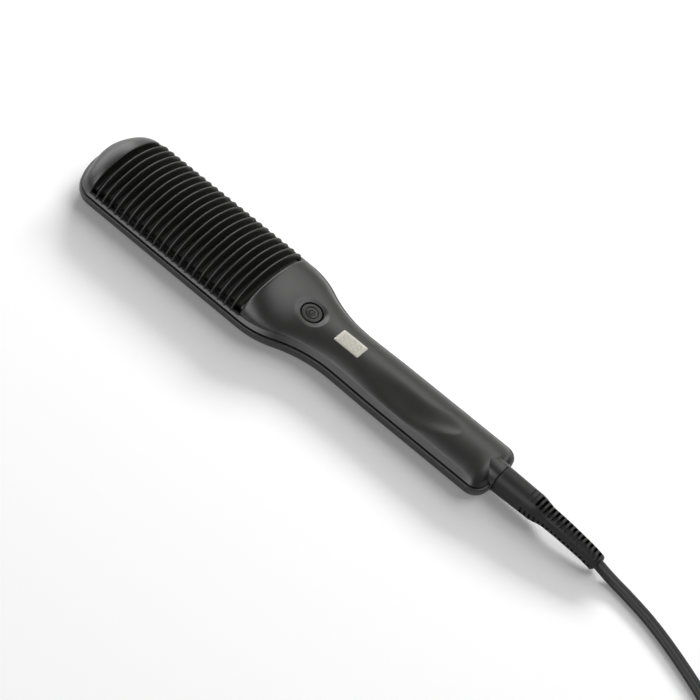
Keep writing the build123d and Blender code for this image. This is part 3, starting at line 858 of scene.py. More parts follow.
# ---------------------------------------------------------------- lead
@dataclass
class Lead:
    """Flat twin lead with its slotted relief, its stored coil and its plug."""

    body: str = "lead"

    # the flat lead: its width, the radius of a lobe, and height and spread of the web between
    width: float = 6.2
    lobe: float = 1.9
    web: tuple[float, float] = (0.16, 0.22)
    around: int = 36
    root: float = 2.0

    # its way: along the floor, round the coil (an inner and an outer radius), up to the plug
    exit: Point = (200.3, 0.0, 5.2)
    along_floor: tuple[Point, ...] = (
        (209.4, 0.0, 2.3), (221.0, -1.3, 2.1), (240.0, -5.0, 2.1), (265.0, -13.6, 2.1),
        (289.0, -24.0, 2.1), (306.0, -32.4, 2.1))
    to_plug: tuple[Point, ...] = (
        (-2.3, -39.4, 12.4), (9.2, -39.4, 14.8), (19.7, -34.7, 16.8), (27.4, -26.1, 18.4),
        (31.0, -15.2, 19.2), (31.0, -3.7, 19.3))
    coil: tuple[float, float] = (320.0, 8.0)
    coil_radii: tuple[float, float] = (30.8, 43.4)
    coil_floor: float = 2.3
    coil_turns: float = 6.93
    per_turn: int = 14
    layer_turns: int = 3
    layer_rise: float = 3.85
    climb_turns: float = 0.25
    wind_in_turns: float = 2.6
    top_inset: float = 6.2
    line_steps: int = 10

    # the relief: stations, centre line as (x, drop, slope), radii with their tapers, ends
    relief_start: float = 137.65
    step: float = 163.0
    tail_end: float = 200.3
    bend: tuple[Point, ...] = ((162.0, 0.0, 0.0), (181.6, -0.85, -0.115), (200.3, -3.9, -0.325))
    plain_r: float = 7.55
    plain_taper: float = 0.55
    tail_r: float = 5.7
    tail_taper: float = 0.9
    step_place: Ramp = (-3.6, 9.4)
    front_round: tuple[float, float] = (0.25, 0.7)
    end_round: tuple[float, float] = (0.8, 1.2)

    # its slots above and below and its holes at the sides, where the first ones differ
    slots: int = 17
    first_slot: float = 155.6
    last_gap: float = 2.8
    fine_slots: int = 2
    slot_widths: tuple[float, float] = (0.6, 1.5)
    slot_across: float = 7.2
    low_depth: float = 2.4
    fine_depth: float = 1.2
    core: float = 1.0                                   # what the deep slots leave above the middle
    tall_holes: int = 4
    hole_heights: tuple[float, float] = (4.4, 2.0)
    hole_wide: float = 1.2
    hole_depth: float = 1.5
    hole_drop: float = 0.6
    tool_size: float = 10.0
    slot_round: float = 0.16
    ring_points: int = 48

    def route(self) -> list[Point]:
        """Control points of the lead's line.

        Returns:
            Points along the floor, round the coil and up to the plug.
        """
        points: list[Point] = [self.exit, *self.along_floor]
        points += [self.coil_point(k / self.per_turn)
                   for k in range(round(self.per_turn * self.coil_turns) + 1)]
        return points + [(self.coil[0] + x, self.coil[1] + y, z) for x, y, z in self.to_plug]

    def coil_point(self, turn: float) -> Point:
        """Point of the coil: inward along the floor, outward above, then once on top.

        Args:
            turn: how many turns the lead has made.

        Returns:
            The point there.
        """
        (inner, outer), lap, climb = self.coil_radii, self.layer_turns, self.climb_turns
        if turn < lap:
            radius = outer + (inner - outer) * smooth_step(turn / self.wind_in_turns)
        elif turn < 2 * lap:
            radius = inner + (outer - inner) * (turn - lap) / lap
        else:
            radius = outer - self.top_inset * smooth_step(turn - 2 * lap)
        layer = sum(ramp(turn, (k * lap - climb, climb)) for k in (1, 2))
        angle = 2 * math.pi * turn - math.pi / 2
        return (self.coil[0] + radius * math.cos(angle), self.coil[1] + radius * math.sin(angle),
                self.coil_floor + self.layer_rise * layer)

    def smooth_line(self) -> list[Vector]:
        """Smooth line through the route.

        Returns:
            Its points, in metres.
        """
        curve = bpy.data.curves.new("lead_line", "CURVE")
        curve.dimensions, curve.resolution_u = "3D", self.line_steps
        spline = curve.splines.new("NURBS")
        points = self.route()
        spline.points.add(len(points) - 1)
        for spot, point in zip(spline.points, points):
            spot.co = (*(Vector(point) * MM), 1.0)
        spline.order_u = 3
        spline.use_endpoint_u = True
        holder = link("lead_line", curve)
        mesh = bpy.data.meshes.new_from_object(holder)
        line = [vertex.co.copy() for vertex in mesh.vertices]
        bpy.data.objects.remove(holder)
        return line

    def section(self) -> list[tuple[float, float]]:
        """Outline of two lobes side by side, with a soft groove between them.

        Returns:
            (across, up) pairs, once round.
        """
        apart, (web, spread), outline = self.width / 2 - self.lobe, self.web, []
        for k in range(self.around):
            angle = 2 * math.pi * k / self.around
            c, s = math.cos(angle), math.sin(angle)
            reach = apart * abs(c) + math.sqrt(max(0.0, self.lobe ** 2 - (apart * s) ** 2))
            reach += web * math.exp(-(c / spread) ** 2)
            outline.append((reach * c, reach * s))
        return outline

    def cord(self) -> None:
        """The lead itself, all of it: flat along the floor and in its coil."""
        line = self.smooth_line()
        rows: list[Row] = []
        outline = self.section()
        for k, point in enumerate(line):
            ahead, behind = line[min(k + 1, len(line) - 1)], line[max(k - 1, 0)]
            along = (ahead - behind).normalized()
            side = along.cross(Vector((0, 0, 1))).normalized()
            up = side.cross(along)
            spots = [point] if k else [point - along * self.root * MM, point]
            rows += [[tuple((spot + side * u * MM + up * v * MM) / MM) for u, v in outline]
                     for spot in spots]
        lead = Mesher.skin("lead_cord", rows, sharp=60.0)
        place(lead, Finish.CORD, self.body, "cord_rubber", "power_cord", "cord_coil", "plug_lead")
        self.width * MM

    def centre(self, x: float) -> tuple[float, float]:
        """Centre line of the relief, a smooth curve through the knots of its bend.

        Args:
            x: station along the relief.

        Returns:
            The line's height and slope there.
        """
        knots = [(knot, SHAPE.axis + drop, slope) for knot, drop, slope in self.bend]
        if x <= knots[0][0]:
            return SHAPE.axis, 0.0
        first, last = (knots[0], knots[1]) if x < knots[1][0] else (knots[1], knots[2])
        length = last[0] - first[0]
        t = (x - first[0]) / length
        rise = last[1] - first[1]
        height = (first[1] + rise * (3 * t * t - 2 * t ** 3)
                  + length * (first[2] * (t - 2 * t * t + t ** 3) + last[2] * (t ** 3 - t * t)))
        slope = (6 * rise * (t - t * t) / length + first[2] * (1 - 4 * t + 3 * t * t)
                 + last[2] * (3 * t * t - 2 * t))
        return height, slope

    def relief_radius(self, x: float) -> float:
        """Radius of the relief: plain end, rounded step, thin tail.

        Args:
            x: station along the relief.

        Returns:
            The radius there.
        """
        start, tail_length = self.relief_start, self.tail_end - self.step
        base = self.plain_r - self.plain_taper * (x - start) / (self.step - start)
        tail = self.tail_r - self.tail_taper * (x - self.step) / tail_length
        edge = self.front_round[0] * (1 - smooth_step((x - start) / self.front_round[1]))
        step = smooth_step((x - self.step - self.step_place[0]) / self.step_place[1])
        depth, run = self.end_round
        end = depth * smooth_step((x - self.tail_end + run) / run) ** 2
        return base * (1 - step) + tail * step - edge - end

    def ring(self, x: float) -> Row:
        """Circle round the relief's centre line.

        Args:
            x: station along the relief.

        Returns:
            The points.
        """
        height, slope = self.centre(x)
        tilt = math.atan(slope)
        radius = self.relief_radius(x)
        ring = []
        for k in range(self.ring_points):
            angle = 2 * math.pi * k / self.ring_points
            v = radius * math.sin(angle)
            ring.append((x - v * math.sin(tilt), radius * math.cos(angle), height + v * math.cos(tilt)))
        return ring

    def slot_tools(self, k: int) -> list[Object]:
        """Boxes that cut one place of the relief: above, below and at both sides.

        Args:
            k: the place's number; the first ones are finer, with taller holes at the sides.

        Returns:
            The four boxes.
        """
        x = self.first_slot + (self.tail_end - self.last_gap - self.first_slot) * k / (self.slots - 1)
        height, slope = self.centre(x)
        frame = turned((x, 0, height), -math.atan(slope), "Y")
        reach = self.relief_radius(x)
        fine = k < self.fine_slots
        wide, above = self.slot_widths[not fine], reach - self.fine_depth if fine else self.core
        tall = self.hole_heights[k >= self.tall_holes]
        long, short = self.tool_size, self.tool_size / 2
        tools = []
        for side, floor in ((-1, reach - self.low_depth), (1, above)):
            hole = (0, side * (reach - self.hole_depth + short / 2), -self.hole_drop)
            tools.append(Mesher.box("tool", (0, 0, side * (floor + long / 2)),
                                    (wide, self.slot_across, long), frame))
            tools.append(Mesher.box("tool", hole, (self.hole_wide, short, tall), frame))
        return tools

    def relief(self) -> None:
        """Slotted sleeve: rows of slots above and below, square holes along both sides."""
        start, step, end = self.relief_start, self.step, self.tail_end
        xs = spaced(start, step - 3, 26) + spaced(step - 2.7, step + 1.5, 15)
        xs += spaced(step + 2, end - 1.3, 60) + spaced(end - 1.1, end, 7)
        sleeve = Mesher.skin("lead_relief", [self.ring(x) for x in xs])
        tools = [tool for k in range(self.slots) for tool in self.slot_tools(k)]
        Mesher.cut(sleeve, Mesher.join("tools", tools))
        Mesher.bevel(sleeve, self.slot_round, 2, 40.0)
        place(sleeve, Finish.RELIEF, self.body, "relief_rubber", "strain_relief")


# ---------------------------------------------------------------- casings
SCREWS = [(-124.0, 0.0), (-4.0, -16.0), (-4.0, 16.0), (72.0, 0.0), (97.0, 0.0)]


@dataclass(frozen=True)
class ThumbHollow:
    """Shallow hollow for the thumb, which slopes to the -Y side and ends round near the lead."""

    depth: float = 1.15
    half: float = 9.2
    least: float = 0.15                 # least share of the half width, right at the end
    deepens: Ramp = (46.0, 36.0)
    end: Ramp = (96.0, 13.2)
    middle: float = -6.2
    swing: float = 6.4
    swings: Ramp = (84.0, 24.0)
    end_power: float = 1.6

    def at(self, x: float, y: float) -> float:
        """Depth of the hollow.

        Args:
            x: station along the brush.
            y: place across it.

        Returns:
            The depth there, 0 outside the hollow.
        """
        past = max(0.0, (x - self.end[0]) / self.end[1])
        if x < self.deepens[0] or past >= 1:
            return 0.0
        rounding = math.sqrt(1 - past ** 2)
        across = ((y - self.middle - self.swing * ramp(x, self.swings))
                  / (self.half * max(self.least, rounding)))
        if abs(across) >= 1:
            return 0.0
        bowl = math.cos(math.pi / 2 * across) ** 2
        return self.depth * ramp(x, self.deepens) * bowl * rounding ** self.end_power


HOLLOW = ThumbHollow()


@dataclass
class Housing:
    """Both shells, their rails, the ring for the lead and the caps over the screws."""

    body: str = "housing"
    wall: float = 2.0
    across: int = 81                                    # points of the top shell's arch

    # sloped edge of the top shell: from its foot, up by its height and in by the rim
    gap: float = 0.7
    inset: float = 0.25
    rim: float = 2.0
    edge_marks: tuple[float, ...] = (0.0, 0.12, 0.3, 0.6, 0.85, 0.95)
    swell_in: Ramp = (-15.0, 40.0)
    swell_out: Ramp = (134.0, -12.0)
    swell_rim: float = 0.6
    swell_height: float = 1.4
    tip_rim: float = 0.6
    tip_place: Ramp = (SHAPE.window[0] - 0.8, -10.0)

    # arch of the top shell: its fullness, flatter over the head, and how its flanks fall
    arch_power: float = 2.0
    head_flatter: float = 0.12
    head_place: Ramp = (SHAPE.window[1], -20.0)
    flank: float = 1.15
    grip_flank: float = 0.75
    flank_place: Ramp = (-8.0, 40.0)

    # inside of the top shell
    inner_gap: float = 0.4
    inner_low: float = 1.2
    inner_narrow: float = 0.96
    inner_step: float = 0.06

    # rounded rims of the openings over the fins, and where the tail's sections begin
    tip_round: float = 0.7
    neck_round: float = 2.0
    tail_sections: float = 124.4

    # dish round the button
    dish_reach: float = 10.0
    dish_above: float = 13.5
    dish_slope: float = 0.158
    dish_edge: Ramp = (6.2, 3.2)

    # back shell: its lip as (inset, height) pairs, its section and its inside
    lip_profile: Profile = ((2.3, 0.0), (1.2, 0.0), (0.55, 0.0), (0.3, -0.05), (0.1, -0.25), (0.0, -0.55))
    belly_start: float = 0.6
    belly_power: float = 3.0
    belly_points: int = 61
    inner_inset: float = 0.2
    inner_depth: float = 8.0

    # openings
    button_hole_r: float = 6.25
    window_size: Point = (16.0, 9.1, 12.0)
    window_corner: float = 0.7
    collar_r: float = 7.98
    collar_start: float = 126.2
    filler_y: float = 28.2

    def top_row(self, x: float, shrink: float = 0.0, rise: float = 1.0) -> Row:
        """Section of the top shell, from its -Y edge to its +Y edge.

        Args:
            x: station along the outline.
            shrink: how far the arch above the sloped edge is drawn in.
            rise: share of the arch's height, 0 for a flat line.

        Returns:
            The row of points.
        """
        half, (nx, ny) = SHAPE.half_width(x), SHAPE.normal(x)
        swell = ramp(x, self.swell_in) * ramp(x, self.swell_out)
        rim = self.rim + self.swell_rim * swell - self.tip_rim * ramp(x, self.tip_place)
        high = self.rim + self.swell_height * swell
        power = self.arch_power - self.head_flatter * ramp(x, self.head_place)
        fall = self.flank + self.grip_flank * ramp(x, self.flank_place)
        inner = max(TINY, half + ny * rim)
        foot = max(TINY, half + ny * self.inset)
        edge = []
        for t in self.edge_marks:
            edge.append((x + nx * (self.inset + (rim - self.inset) * t), foot + (inner - foot) * t,
                         SHAPE.parting + self.gap + (high - self.gap) * t))
        top = max(0.0, max(0.0, SHAPE.crown(x) - high) * rise - shrink)
        scale = (inner - shrink) / inner
        arch = [(x + nx * rim, y * scale, SHAPE.parting + high + top * z ** fall)
                for y, z in superellipse(inner, 1.0, power, self.across)]
        row = other_side(edge) + arch + edge[::-1]
        return [self.press(point) for point in row]

    def press(self, point: Point) -> tuple[float, float, float]:
        """Presses the button's dish and the thumb's hollow into the surface.

        Args:
            point: a point of the smooth surface.

        Returns:
            Where the point lies then.
        """
        x, y, z = point
        away = math.hypot(x - SHAPE.button_x, y)
        if away < self.dish_reach and z > self.dish_above:
            seat = SHAPE.button_height - self.dish_slope * (x - SHAPE.button_x)
            z = min(z, seat + (z - seat) * ramp(away, self.dish_edge))
        return x, y, z - HOLLOW.at(x, y)

    def inner_row(self, x: float, rise: float = 1.0) -> Row:
        """Inside of the top shell, with as many points as the outside has.

        Args:
            x: station along the brush.
            rise: share of the arch's height, 0 for a flat line.

        Returns:
            The row of points.
        """
        least, base = 0.05, SHAPE.parting
        half = max(least, SHAPE.half_width(x, -self.wall - self.inner_gap))
        top = max(least, SHAPE.crown(x) - self.wall - self.inner_low) * rise
        edge = [(x, -half, base + self.gap + self.inner_step * t) for t in range(len(self.edge_marks))]
        arch = []
        for y, z in superellipse(half, 1.0, 2.0, self.across):
            above = base + self.inner_low + top * z + self.wall
            arch.append((x, y * self.inner_narrow, self.press((x, y, above))[2] - self.wall))
        return edge + arch + other_side(edge[::-1])

    @staticmethod
    def shell(name: str, outer: Sequence[Row], inner: Sequence[Row], tips: bool = False) -> Object:
        """Closed wall between an outer and an inner sheet with the same points in each.

        Args:
            name: the object's name.
            outer: rows of the outer sheet.
            inner: as many rows of the inner sheet.
            tips: whether each sheet's end rows close over themselves.

        Returns:
            The wall, closed along its edges and ends.
        """
        width, count = len(outer[0]), len(outer)
        round_all = 2 * width
        rings = [list(out) + list(ins)[::-1] for out, ins in zip(outer, inner)]
        faces = []
        for r in range(count - 1):
            for c in range(round_all):
                a, b = r * round_all + c, r * round_all + (c + 1) % round_all
                faces.append((a, b, b + round_all, a + round_all))
        for start in (0, (count - 1) * round_all):
            last = start + round_all - 1
            if not tips:
                faces += [(start + c, start + c + 1, last - c - 1, last - c) for c in range(width - 1)]
                continue
            faces.append((start, start + width - 1, start + width, last))
            for low, high in ((start, start + width - 1), (start + width, last)):
                for c in range((width - 1) // 2):
                    ring = (low + c, low + c + 1, high - c - 1, high - c)
                    faces.append(tuple(dict.fromkeys(ring)))
        return Mesher.from_lists(name, [p for ring in rings for p in ring], faces)

    def cap(self) -> Object:
        """Smooth closed tip in front of the fins.

        Returns:
            The tip.
        """
        start, edge, steps = SHAPE.window[0], self.tip_round, 6
        reach = start - edge - SHAPE.nose
        rows = [self.top_row(x) for x in crowded(SHAPE.nose + END, reach - END, 45, 2.0)]
        for k in range(1, steps + 1):
            turn = math.pi / 2 * k / steps
            rows.append(self.top_row(start - edge + edge * math.sin(turn), edge * (1 - math.cos(turn))))
        rows.append(self.top_row(start, edge, 0.0))
        return Mesher.skin("cap", rows)

    def neck_and_grip(self) -> Object:
        """Shouldered neck running into the grip, with its openings.

        Returns:
            The neck and grip in one.
        """
        start, edge, steps = SHAPE.window[1], self.neck_round, 7
        rows = [self.top_row(start, edge, 0.0)]
        for k in range(steps + 1):
            turn = math.pi / 2 * k / steps
            rows.append(self.top_row(start + edge - edge * math.cos(turn), edge * (1 - math.sin(turn))))
        rows += [self.top_row(x) for x in spaced(start + edge + 0.5, self.tail_sections - 0.4, 230)]
        reach = SHAPE.tail - self.tail_sections
        rows += [self.top_row(x) for x in crowded(SHAPE.tail - END, END - reach, 31, 1.8)[::-1]]
        # the inside's rows are the outside's, moved in from both ends by the walls there
        length, behind, both = SHAPE.tail - start, 1.56, 5.0
        share = (length - both) / length
        inner = [self.inner_row(start + behind - 0.01, 0.0)]
        inner += [self.inner_row(start + behind + (row[0][0] - start) * share + 0.002 * k)
                  for k, row in enumerate(rows[1:])]
        solid = self.shell("neck", rows, inner)
        radius, tall = self.button_hole_r, 12
        button = Mesher.lathe("tool", [(0, -tall), (radius, -tall), (radius, tall), (0, tall)],
                              Matrix.Translation((SHAPE.button_x, 0, 18)), 72)
        outline = rounded_rectangle((SHAPE.display_x, 0), self.window_size, self.window_corner, 6)
        window = Mesher.skin("tool", [[(x, y, 17.5 + side * self.window_size[2] / 2)
                                       for x, y in outline] for side in (-1, 1)])
        return Mesher.cut(solid, button, window, self.collar_tool())

    def collar_tool(self) -> Object:
        """Cylinder that clears the lead's collar out of the shells.

        Returns:
            The cylinder.
        """
        frame = turned((0, 0, SHAPE.axis), math.pi / 2, "Y")
        start, end, radius = self.collar_start, 150, self.collar_r
        return Mesher.lathe("tool", [(0, start), (radius, start), (radius, end), (0, end)], frame, 80)

    def rail(self, side: int) -> Object:
        """Rail beside the fins, from the cap to the neck.

        Args:
            side: 1 on the +Y side, -1 on the other.

        Returns:
            The rail.
        """
        gap = self.gap
        profile = [(0.25, gap), (0.8, gap + 0.55), (1.35, 1.65), (1.9, 1.88), (2.5, 1.95),
                   (2.95, 1.85), (3.15, 1.55), (3.2, -0.3), (1.6, -0.3), (1.2, gap)]
        rows = [[(x, side * (SHAPE.head_half - inset), SHAPE.parting + z) for inset, z in profile]
                for x in spaced(SHAPE.window[0] - 0.6, SHAPE.window[1] + 0.8, 24)]
        return Mesher.skin("rail", rows)

    def top(self) -> None:
        """Top shell: tip, rails, neck and grip."""
        parts = [self.cap(), self.neck_and_grip(), self.rail(-1), self.rail(1)]
        place(Mesher.join("top_shell", parts), Finish.HOUSING, self.body, "housing_plastic", "upper_housing")

    def back_row(self, x: float) -> Row:
        """Section of the back shell, from its inner edge at -Y round the back to +Y.

        Args:
            x: station along the outline.

        Returns:
            The row of points.
        """
        half, (nx, ny) = SHAPE.half_width(x, SHAPE.lip), SHAPE.normal(x, SHAPE.lip)
        base, start = SHAPE.parting, self.belly_start
        edge = [(x + nx * inset, max(0.01, half + ny * inset), base + z) for inset, z in self.lip_profile]
        depth = SHAPE.belly(x) - start
        belly = [(x, y, max(0.0, base - start + z))
                 for y, z in superellipse(half, -depth, self.belly_power, self.belly_points)[1:-1]]
        return other_side(edge) + belly + edge[::-1]

    def back_inner(self, x: float) -> Row:
        """Inside of the back shell, drawn in from the outline's point.

        Args:
            x: station along the outline.

        Returns:
            The row of points.
        """
        inset = SHAPE.lip + self.wall + self.inner_inset
        nx, ny = SHAPE.normal(x, SHAPE.lip)
        half = max(0.05, SHAPE.half_width(x, SHAPE.lip) + ny * inset)
        x += nx * inset
        depth = max(0.4, min(SHAPE.belly(x) - self.wall, self.inner_depth))
        arch = [(x, y, SHAPE.parting - 0.1 + z)
                for y, z in superellipse(half, -depth, self.belly_power, self.belly_points - 2)]
        edge = [(x, -half, SHAPE.parting - 0.01 * k) for k in range(len(self.lip_profile))]
        return edge + arch + other_side(edge[::-1])

    def back(self) -> None:
        """Back shell: a tray with a proud rounded lip, screw holes and the filler's seat."""
        nose, tail = SHAPE.nose - SHAPE.lip, SHAPE.tail + SHAPE.lip
        nose_run, tail_run = 24, 17
        stations = crowded(nose + END, nose_run, 41, 2)
        stations += spaced(nose + nose_run + 1, tail - tail_run - 1, 190)
        stations += crowded(tail - END, -tail_run, 35, 2)[::-1]
        outer = [self.back_row(x) for x in stations]
        inner = [self.back_inner(x) for x in stations]
        solid = self.shell("back_shell", outer, inner, tips=True)
        screw_hole = [(0, -2), (3.0, -2), (3.0, 0), (2.72, 0.3), (2.72, 4), (0, 4)]
        filler_seat = [(0, -3), (3.0, -3), (3.0, 0), (3.8, 0), (3.8, 4), (0, 4)]
        tools = [self.collar_tool()]
        tools += [Mesher.lathe("tool", screw_hole, Matrix.Translation((x, y, 0)), 40) for x, y in SCREWS]
        seat = turned((SHAPE.filler_x, self.filler_y, SHAPE.filler_z), -math.pi / 2, "X")
        tools.append(Mesher.lathe("tool", filler_seat, seat, 48))
        Mesher.cut(solid, *tools)
        place(solid, Finish.HOUSING, self.body, "housing_plastic", "lower_housing")

    def collar(self) -> None:
        """Ring in which the lead turns."""
        frame = turned((0, 0, SHAPE.axis), math.pi / 2, "Y")
        profile = [(5.05, 126.3), (5.05, 137.1), (5.25, 137.45), (7.5, 137.5), (7.8, 137.4), (7.9, 137.1),
                   (7.9, 126.3), (5.05, 126.3)]
        place(Mesher.lathe("lead_collar", profile, frame, 72), Finish.HOUSING, self.body,
              "collar_plastic", "cord_collar")

    def covers(self) -> None:
        """Soft caps over the screws in the back."""
        profile = [(0, 0.42), (1.6, 0.4), (2.2, 0.33), (2.5, 0.36), (2.62, 0.55), (2.62, 2.4), (0, 2.4)]
        parts = [Mesher.lathe("cover", profile, Matrix.Translation((x, y, 0)), 40) for x, y in SCREWS]
        place(Mesher.join("screw_covers", parts), Finish.RUBBER, self.body, "soft_rubber", "screw_caps")


# ---------------------------------------------------------------- fins
@dataclass
class FinComb:
    """Comb of thin arched fins over the heated plate."""

    body: str = "housing"
    count: int = 22
    first: float = -115.5
    pitch: float = 4.56
    half: float = 27.3
    foot: float = 1.7
    rise: float = 13.5
    power: float = 1.75
    floor_foot: float = 1.4
    floor_rise: float = 5.6
    across: int = 57
    edge: Profile = ((-0.5, 0.42), (-0.44, 0.2), (-0.27, 0.05), (0.0, 0.0), (0.27, 0.05), (0.44, 0.2),
                     (0.5, 0.42))
    bar_half: float = 23.0
    bar_thick: float = 1.6
    bar_above: float = 0.5
    bar_below: float = 0.2

    def fin(self, x: float) -> Object:
        """One fin, with its outer edge rounded.

        Args:
            x: where it stands.

        Returns:
            The fin.
        """
        base = SHAPE.parting
        top = superellipse(self.half, self.rise, self.power, self.across)
        low = superellipse(self.half, self.floor_rise, self.power, self.across)
        rows = []
        for k, ((y, z), (ly, lz)) in enumerate(zip(top, low)):
            ahead, behind = top[min(k + 1, len(top) - 1)], top[max(k - 1, 0)]
            along = Vector((ahead[0] - behind[0], ahead[1] - behind[1])).normalized()
            down = Vector((along.y, -along.x))
            floor = (ly, base + self.floor_foot + lz)
            ring = [(x + self.edge[0][0], *floor)]
            ring += [(x + u, y + down.x * v, base + self.foot + z + down.y * v) for u, v in self.edge]
            ring.append((x + self.edge[-1][0], *floor))
            rows.append(ring)
        return Mesher.skin("fin", rows)

    def bar(self, x: float) -> Object:
        """Bar across one end of the comb.

        Args:
            x: where its middle is.

        Returns:
            The bar.
        """
        base, half = SHAPE.parting + self.floor_foot, self.bar_thick / 2
        rows = []
        for y, z in superellipse(self.bar_half, self.floor_rise, self.power, 31):
            top, low = base + z + self.bar_above, base - self.bar_below
            rows.append([(x - half, y, top), (x + half, y, top), (x + half, y, low), (x - half, y, low)])
        return Mesher.skin("bar", rows)

    def build(self) -> None:
        """Makes the whole comb."""
        inset = 0.9
        parts = [self.fin(self.first + self.pitch * k) for k in range(self.count)]
        parts += [self.bar(SHAPE.window[0] + inset), self.bar(SHAPE.window[1] - inset)]
        place(Mesher.join("fin_comb", parts), Finish.FINS, self.body, "fin_plastic", "fin_guard")


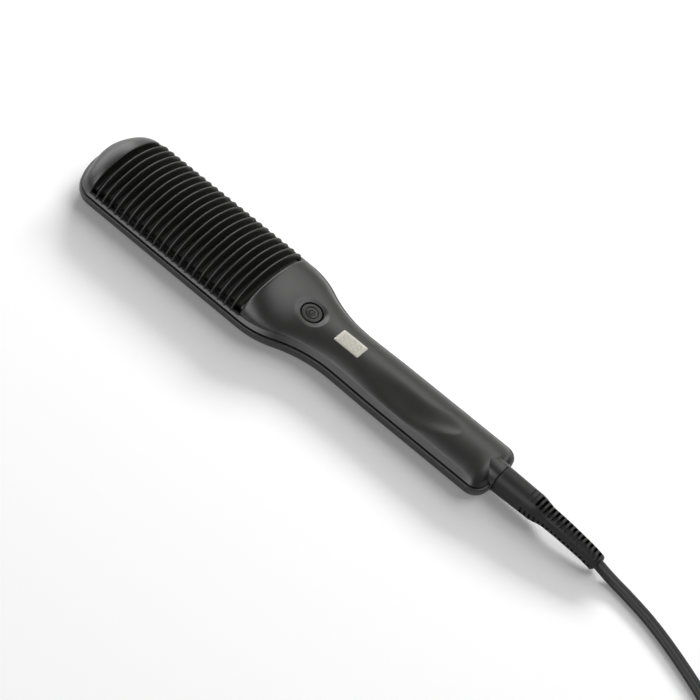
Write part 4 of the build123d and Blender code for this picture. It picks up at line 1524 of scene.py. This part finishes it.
# ---------------------------------------------------------------- controls
@dataclass
class Controls:
    """Button, display and filler plug."""

    # button: how far it tilts with the neck, and its start mark
    tilt: float = 9.0
    mark_r: float = 1.55
    mark_open: float = 40.0
    mark_steps: int = 40
    mark_profile: Profile = ((-0.31, -0.1), (-0.28, 0.0), (0.0, 0.02), (0.28, 0.0), (0.31, -0.1))
    stroke: tuple[float, ...] = (0.3, 0.6, 1.2, 1.7, 2.05)

    # display: the lens, its edge as (inset, height) pairs, and the figures' places and segments
    lens_size: tuple[float, float] = (15.9, 9.0)
    lens_corner: float = 0.65
    lens_edge: Profile = ((0.0, 15.9), (0.0, 17.2), (0.08, 17.34), (0.25, 17.4), (1.2, 17.42), (3.6, 17.44))
    digit_z: float = 17.46
    digit_pitch: float = 4.3
    digit_size: tuple[float, float] = (1.25, 2.5)
    digit_slant: float = 0.12
    segment_half: float = 0.98
    segment_thick: float = 0.27
    segment_depths: tuple[float, float] = (-0.06, 0.01)

    # filler
    filler_y: float = 28.25
    tab_y: float = 29.3
    tab_size: Point = (3.2, 0.9, 1.2)
    tab_round: float = 0.25

    @property
    def seat(self) -> Matrix:
        """Frame on the button's face, tilted with the neck."""
        return turned((SHAPE.button_x, 0, SHAPE.button_height), math.radians(self.tilt), "Y")

    def button(self) -> None:
        """Button with a softly rounded edge and a grooved ring."""
        profile = [(0, -0.04), (2.95, -0.04), (3.08, -0.1), (3.12, -0.9), (3.5, -0.9), (3.54, -0.1),
                   (3.66, 0.02), (4.8, 0.05), (5.2, -0.02), (5.42, -0.2), (5.5, -0.5), (5.52, -2.2),
                   (1.8, -2.2), (1.8, -3.3), (0, -3.3)]
        place(Mesher.lathe("start_button", profile, self.seat, 96), Finish.BUTTON, "button",
              "button_plastic", "power_button")

    def mark(self) -> None:
        """Plain start mark on the button: an open circle and a stroke."""
        rows, seat, steps = [], self.seat, self.mark_steps
        for k in range(steps + 1):
            angle = math.radians(self.mark_open + (360 - 2 * self.mark_open) * k / steps)
            rows.append([tuple(seat @ Vector(((self.mark_r + u) * math.cos(angle),
                                              (self.mark_r + u) * math.sin(angle), v)))
                         for u, v in self.mark_profile])
        arc = Mesher.skin("arc", rows)
        stroke = Mesher.skin("stroke", [[tuple(seat @ Vector((x, u, v))) for u, v in self.mark_profile]
                                        for x in self.stroke])
        place(Mesher.join("start_mark", [arc, stroke]), Finish.MARK, "button", "button_plastic")

    def lens(self) -> None:
        """Lens of the display, slightly crowned, with a fine rounded edge."""
        rows, (length, width) = [], self.lens_size
        for inset, height in self.lens_edge:
            corner = max(0.1, self.lens_corner - inset * 0.5)
            outline = rounded_rectangle((SHAPE.display_x, 0), (length - 2 * inset, width - 2 * inset),
                                        corner, 5)
            rows.append([(x, y, height) for x, y in outline])
        place(Mesher.skin("display_lens", rows), Finish.LENS, "housing", "display_lens", "display_window")

    def digits(self) -> None:
        """Three unlit figures of seven segments each, faint in the lens."""
        parts, (side, tall) = [], self.digit_size
        half = tall / 2
        segments = ((0, tall, True), (0, 0, True), (0, -tall, True), (-side, half, False),
                    (side, half, False), (-side, -half, False), (side, -half, False))
        for figure in (-1, 0, 1):
            middle = SHAPE.display_x + figure * self.digit_pitch
            parts += [self.segment(middle + x + self.digit_slant * y, y, across) for x, y, across in segments]
        place(Mesher.join("display_digits", parts), Finish.DIGIT, "housing", "display_face")

    def segment(self, x: float, y: float, across: bool) -> Object:
        """One pointed segment of a figure.

        Args:
            x: its middle along the brush.
            y: its middle across the brush.
            across: whether it lies along X.

        Returns:
            The segment.
        """
        long, thick = self.segment_half, self.segment_thick
        outline = [(-long, 0), (-long + thick, thick), (long - thick, thick), (long, 0),
                   (long - thick, -thick), (-long + thick, -thick)]
        if not across:
            outline = [(v, u) for u, v in outline]
        rows = [[(x + u, y + v, self.digit_z + h) for u, v in outline] for h in self.segment_depths]
        return Mesher.skin("segment", rows)

    def filler(self) -> None:
        """Soft plug of the filler, with a small pull tab."""
        frame = turned((SHAPE.filler_x, self.filler_y, SHAPE.filler_z), -math.pi / 2, "X")
        profile = [(0, -6.1), (2.6, -6.1), (2.9, -5.7), (2.97, -5.2), (2.97, 0.0), (3.6, 0.0), (3.62, 0.5),
                   (3.4, 0.85), (2.9, 1.0), (2.4, 0.93), (0, 0.9)]
        plug = Mesher.lathe("plug", profile, frame, 56)
        tab = Mesher.box("tab", (SHAPE.filler_x, self.tab_y, SHAPE.filler_z), self.tab_size)
        Mesher.bevel(tab, self.tab_round, 3)
        place(Mesher.join("filler_plug", [plug, tab]), Finish.RUBBER, "filler", "soft_rubber", "fill_plug")


# ---------------------------------------------------------------- carried-over solids
CARRIED = {
    Finish.PLATE: ("heating_plate",),
    Finish.STEEL: ("heater_clamp", "housing_screws", "board_screws", "plug_pins", "temperature_sensor",
                   "thermal_fuse"),
    Finish.ALUMINIUM: ("heat_shield", "steam_chamber", "ptc_heaters"),
    Finish.BRASS: ("contact_brushes", "slip_rings"),
    Finish.BOARD: ("main_board",),
    Finish.SLEEVE: ("heater_leads", "sensor_leads", "mains_leads"),
    Finish.TAN: ("heater_insulation", "film_capacitor", "mains_fuse"),
    Finish.TANK: ("water_tank",),
    Finish.FELT: ("tank_wick",),
    Finish.COLLAR: ("brush_carrier", "swivel_hub", "tact_switch", "switch_plunger", "triac",
                    "filter_capacitor", "display_module"),
    Finish.RUBBER: ("plug_body", "cord_tie"),
}


def dress_carried(nodes: dict[str, Object]) -> None:
    """Gives every solid that stays in view its material.

    Args:
        nodes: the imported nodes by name.
    """
    for finish, names in CARRIED.items():
        for name in names:
            if name not in nodes:
                log.warning("no node %s", name)
                continue
            for slot in nodes[name].material_slots:
                slot.material = finish.material()
            log.info("node %s: %s", name, finish.name)


def main() -> None:
    """Builds and dresses everything."""
    logging.basicConfig(level=logging.INFO, format="%(message)s")
    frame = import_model()
    studio = Studio()
    studio.camera()
    lead = Lead()
    lead.relief()
    lead.cord()
    housing = Housing()
    housing.top()
    housing.back()
    housing.collar()
    housing.covers()
    FinComb().build()
    controls = Controls()
    controls.button()
    controls.mark()
    controls.lens()
    controls.digits()
    controls.filler()
    dress_carried(frame["nodes"])
    studio.floor()
    studio.lights()


if __name__ == "__main__":
    main()
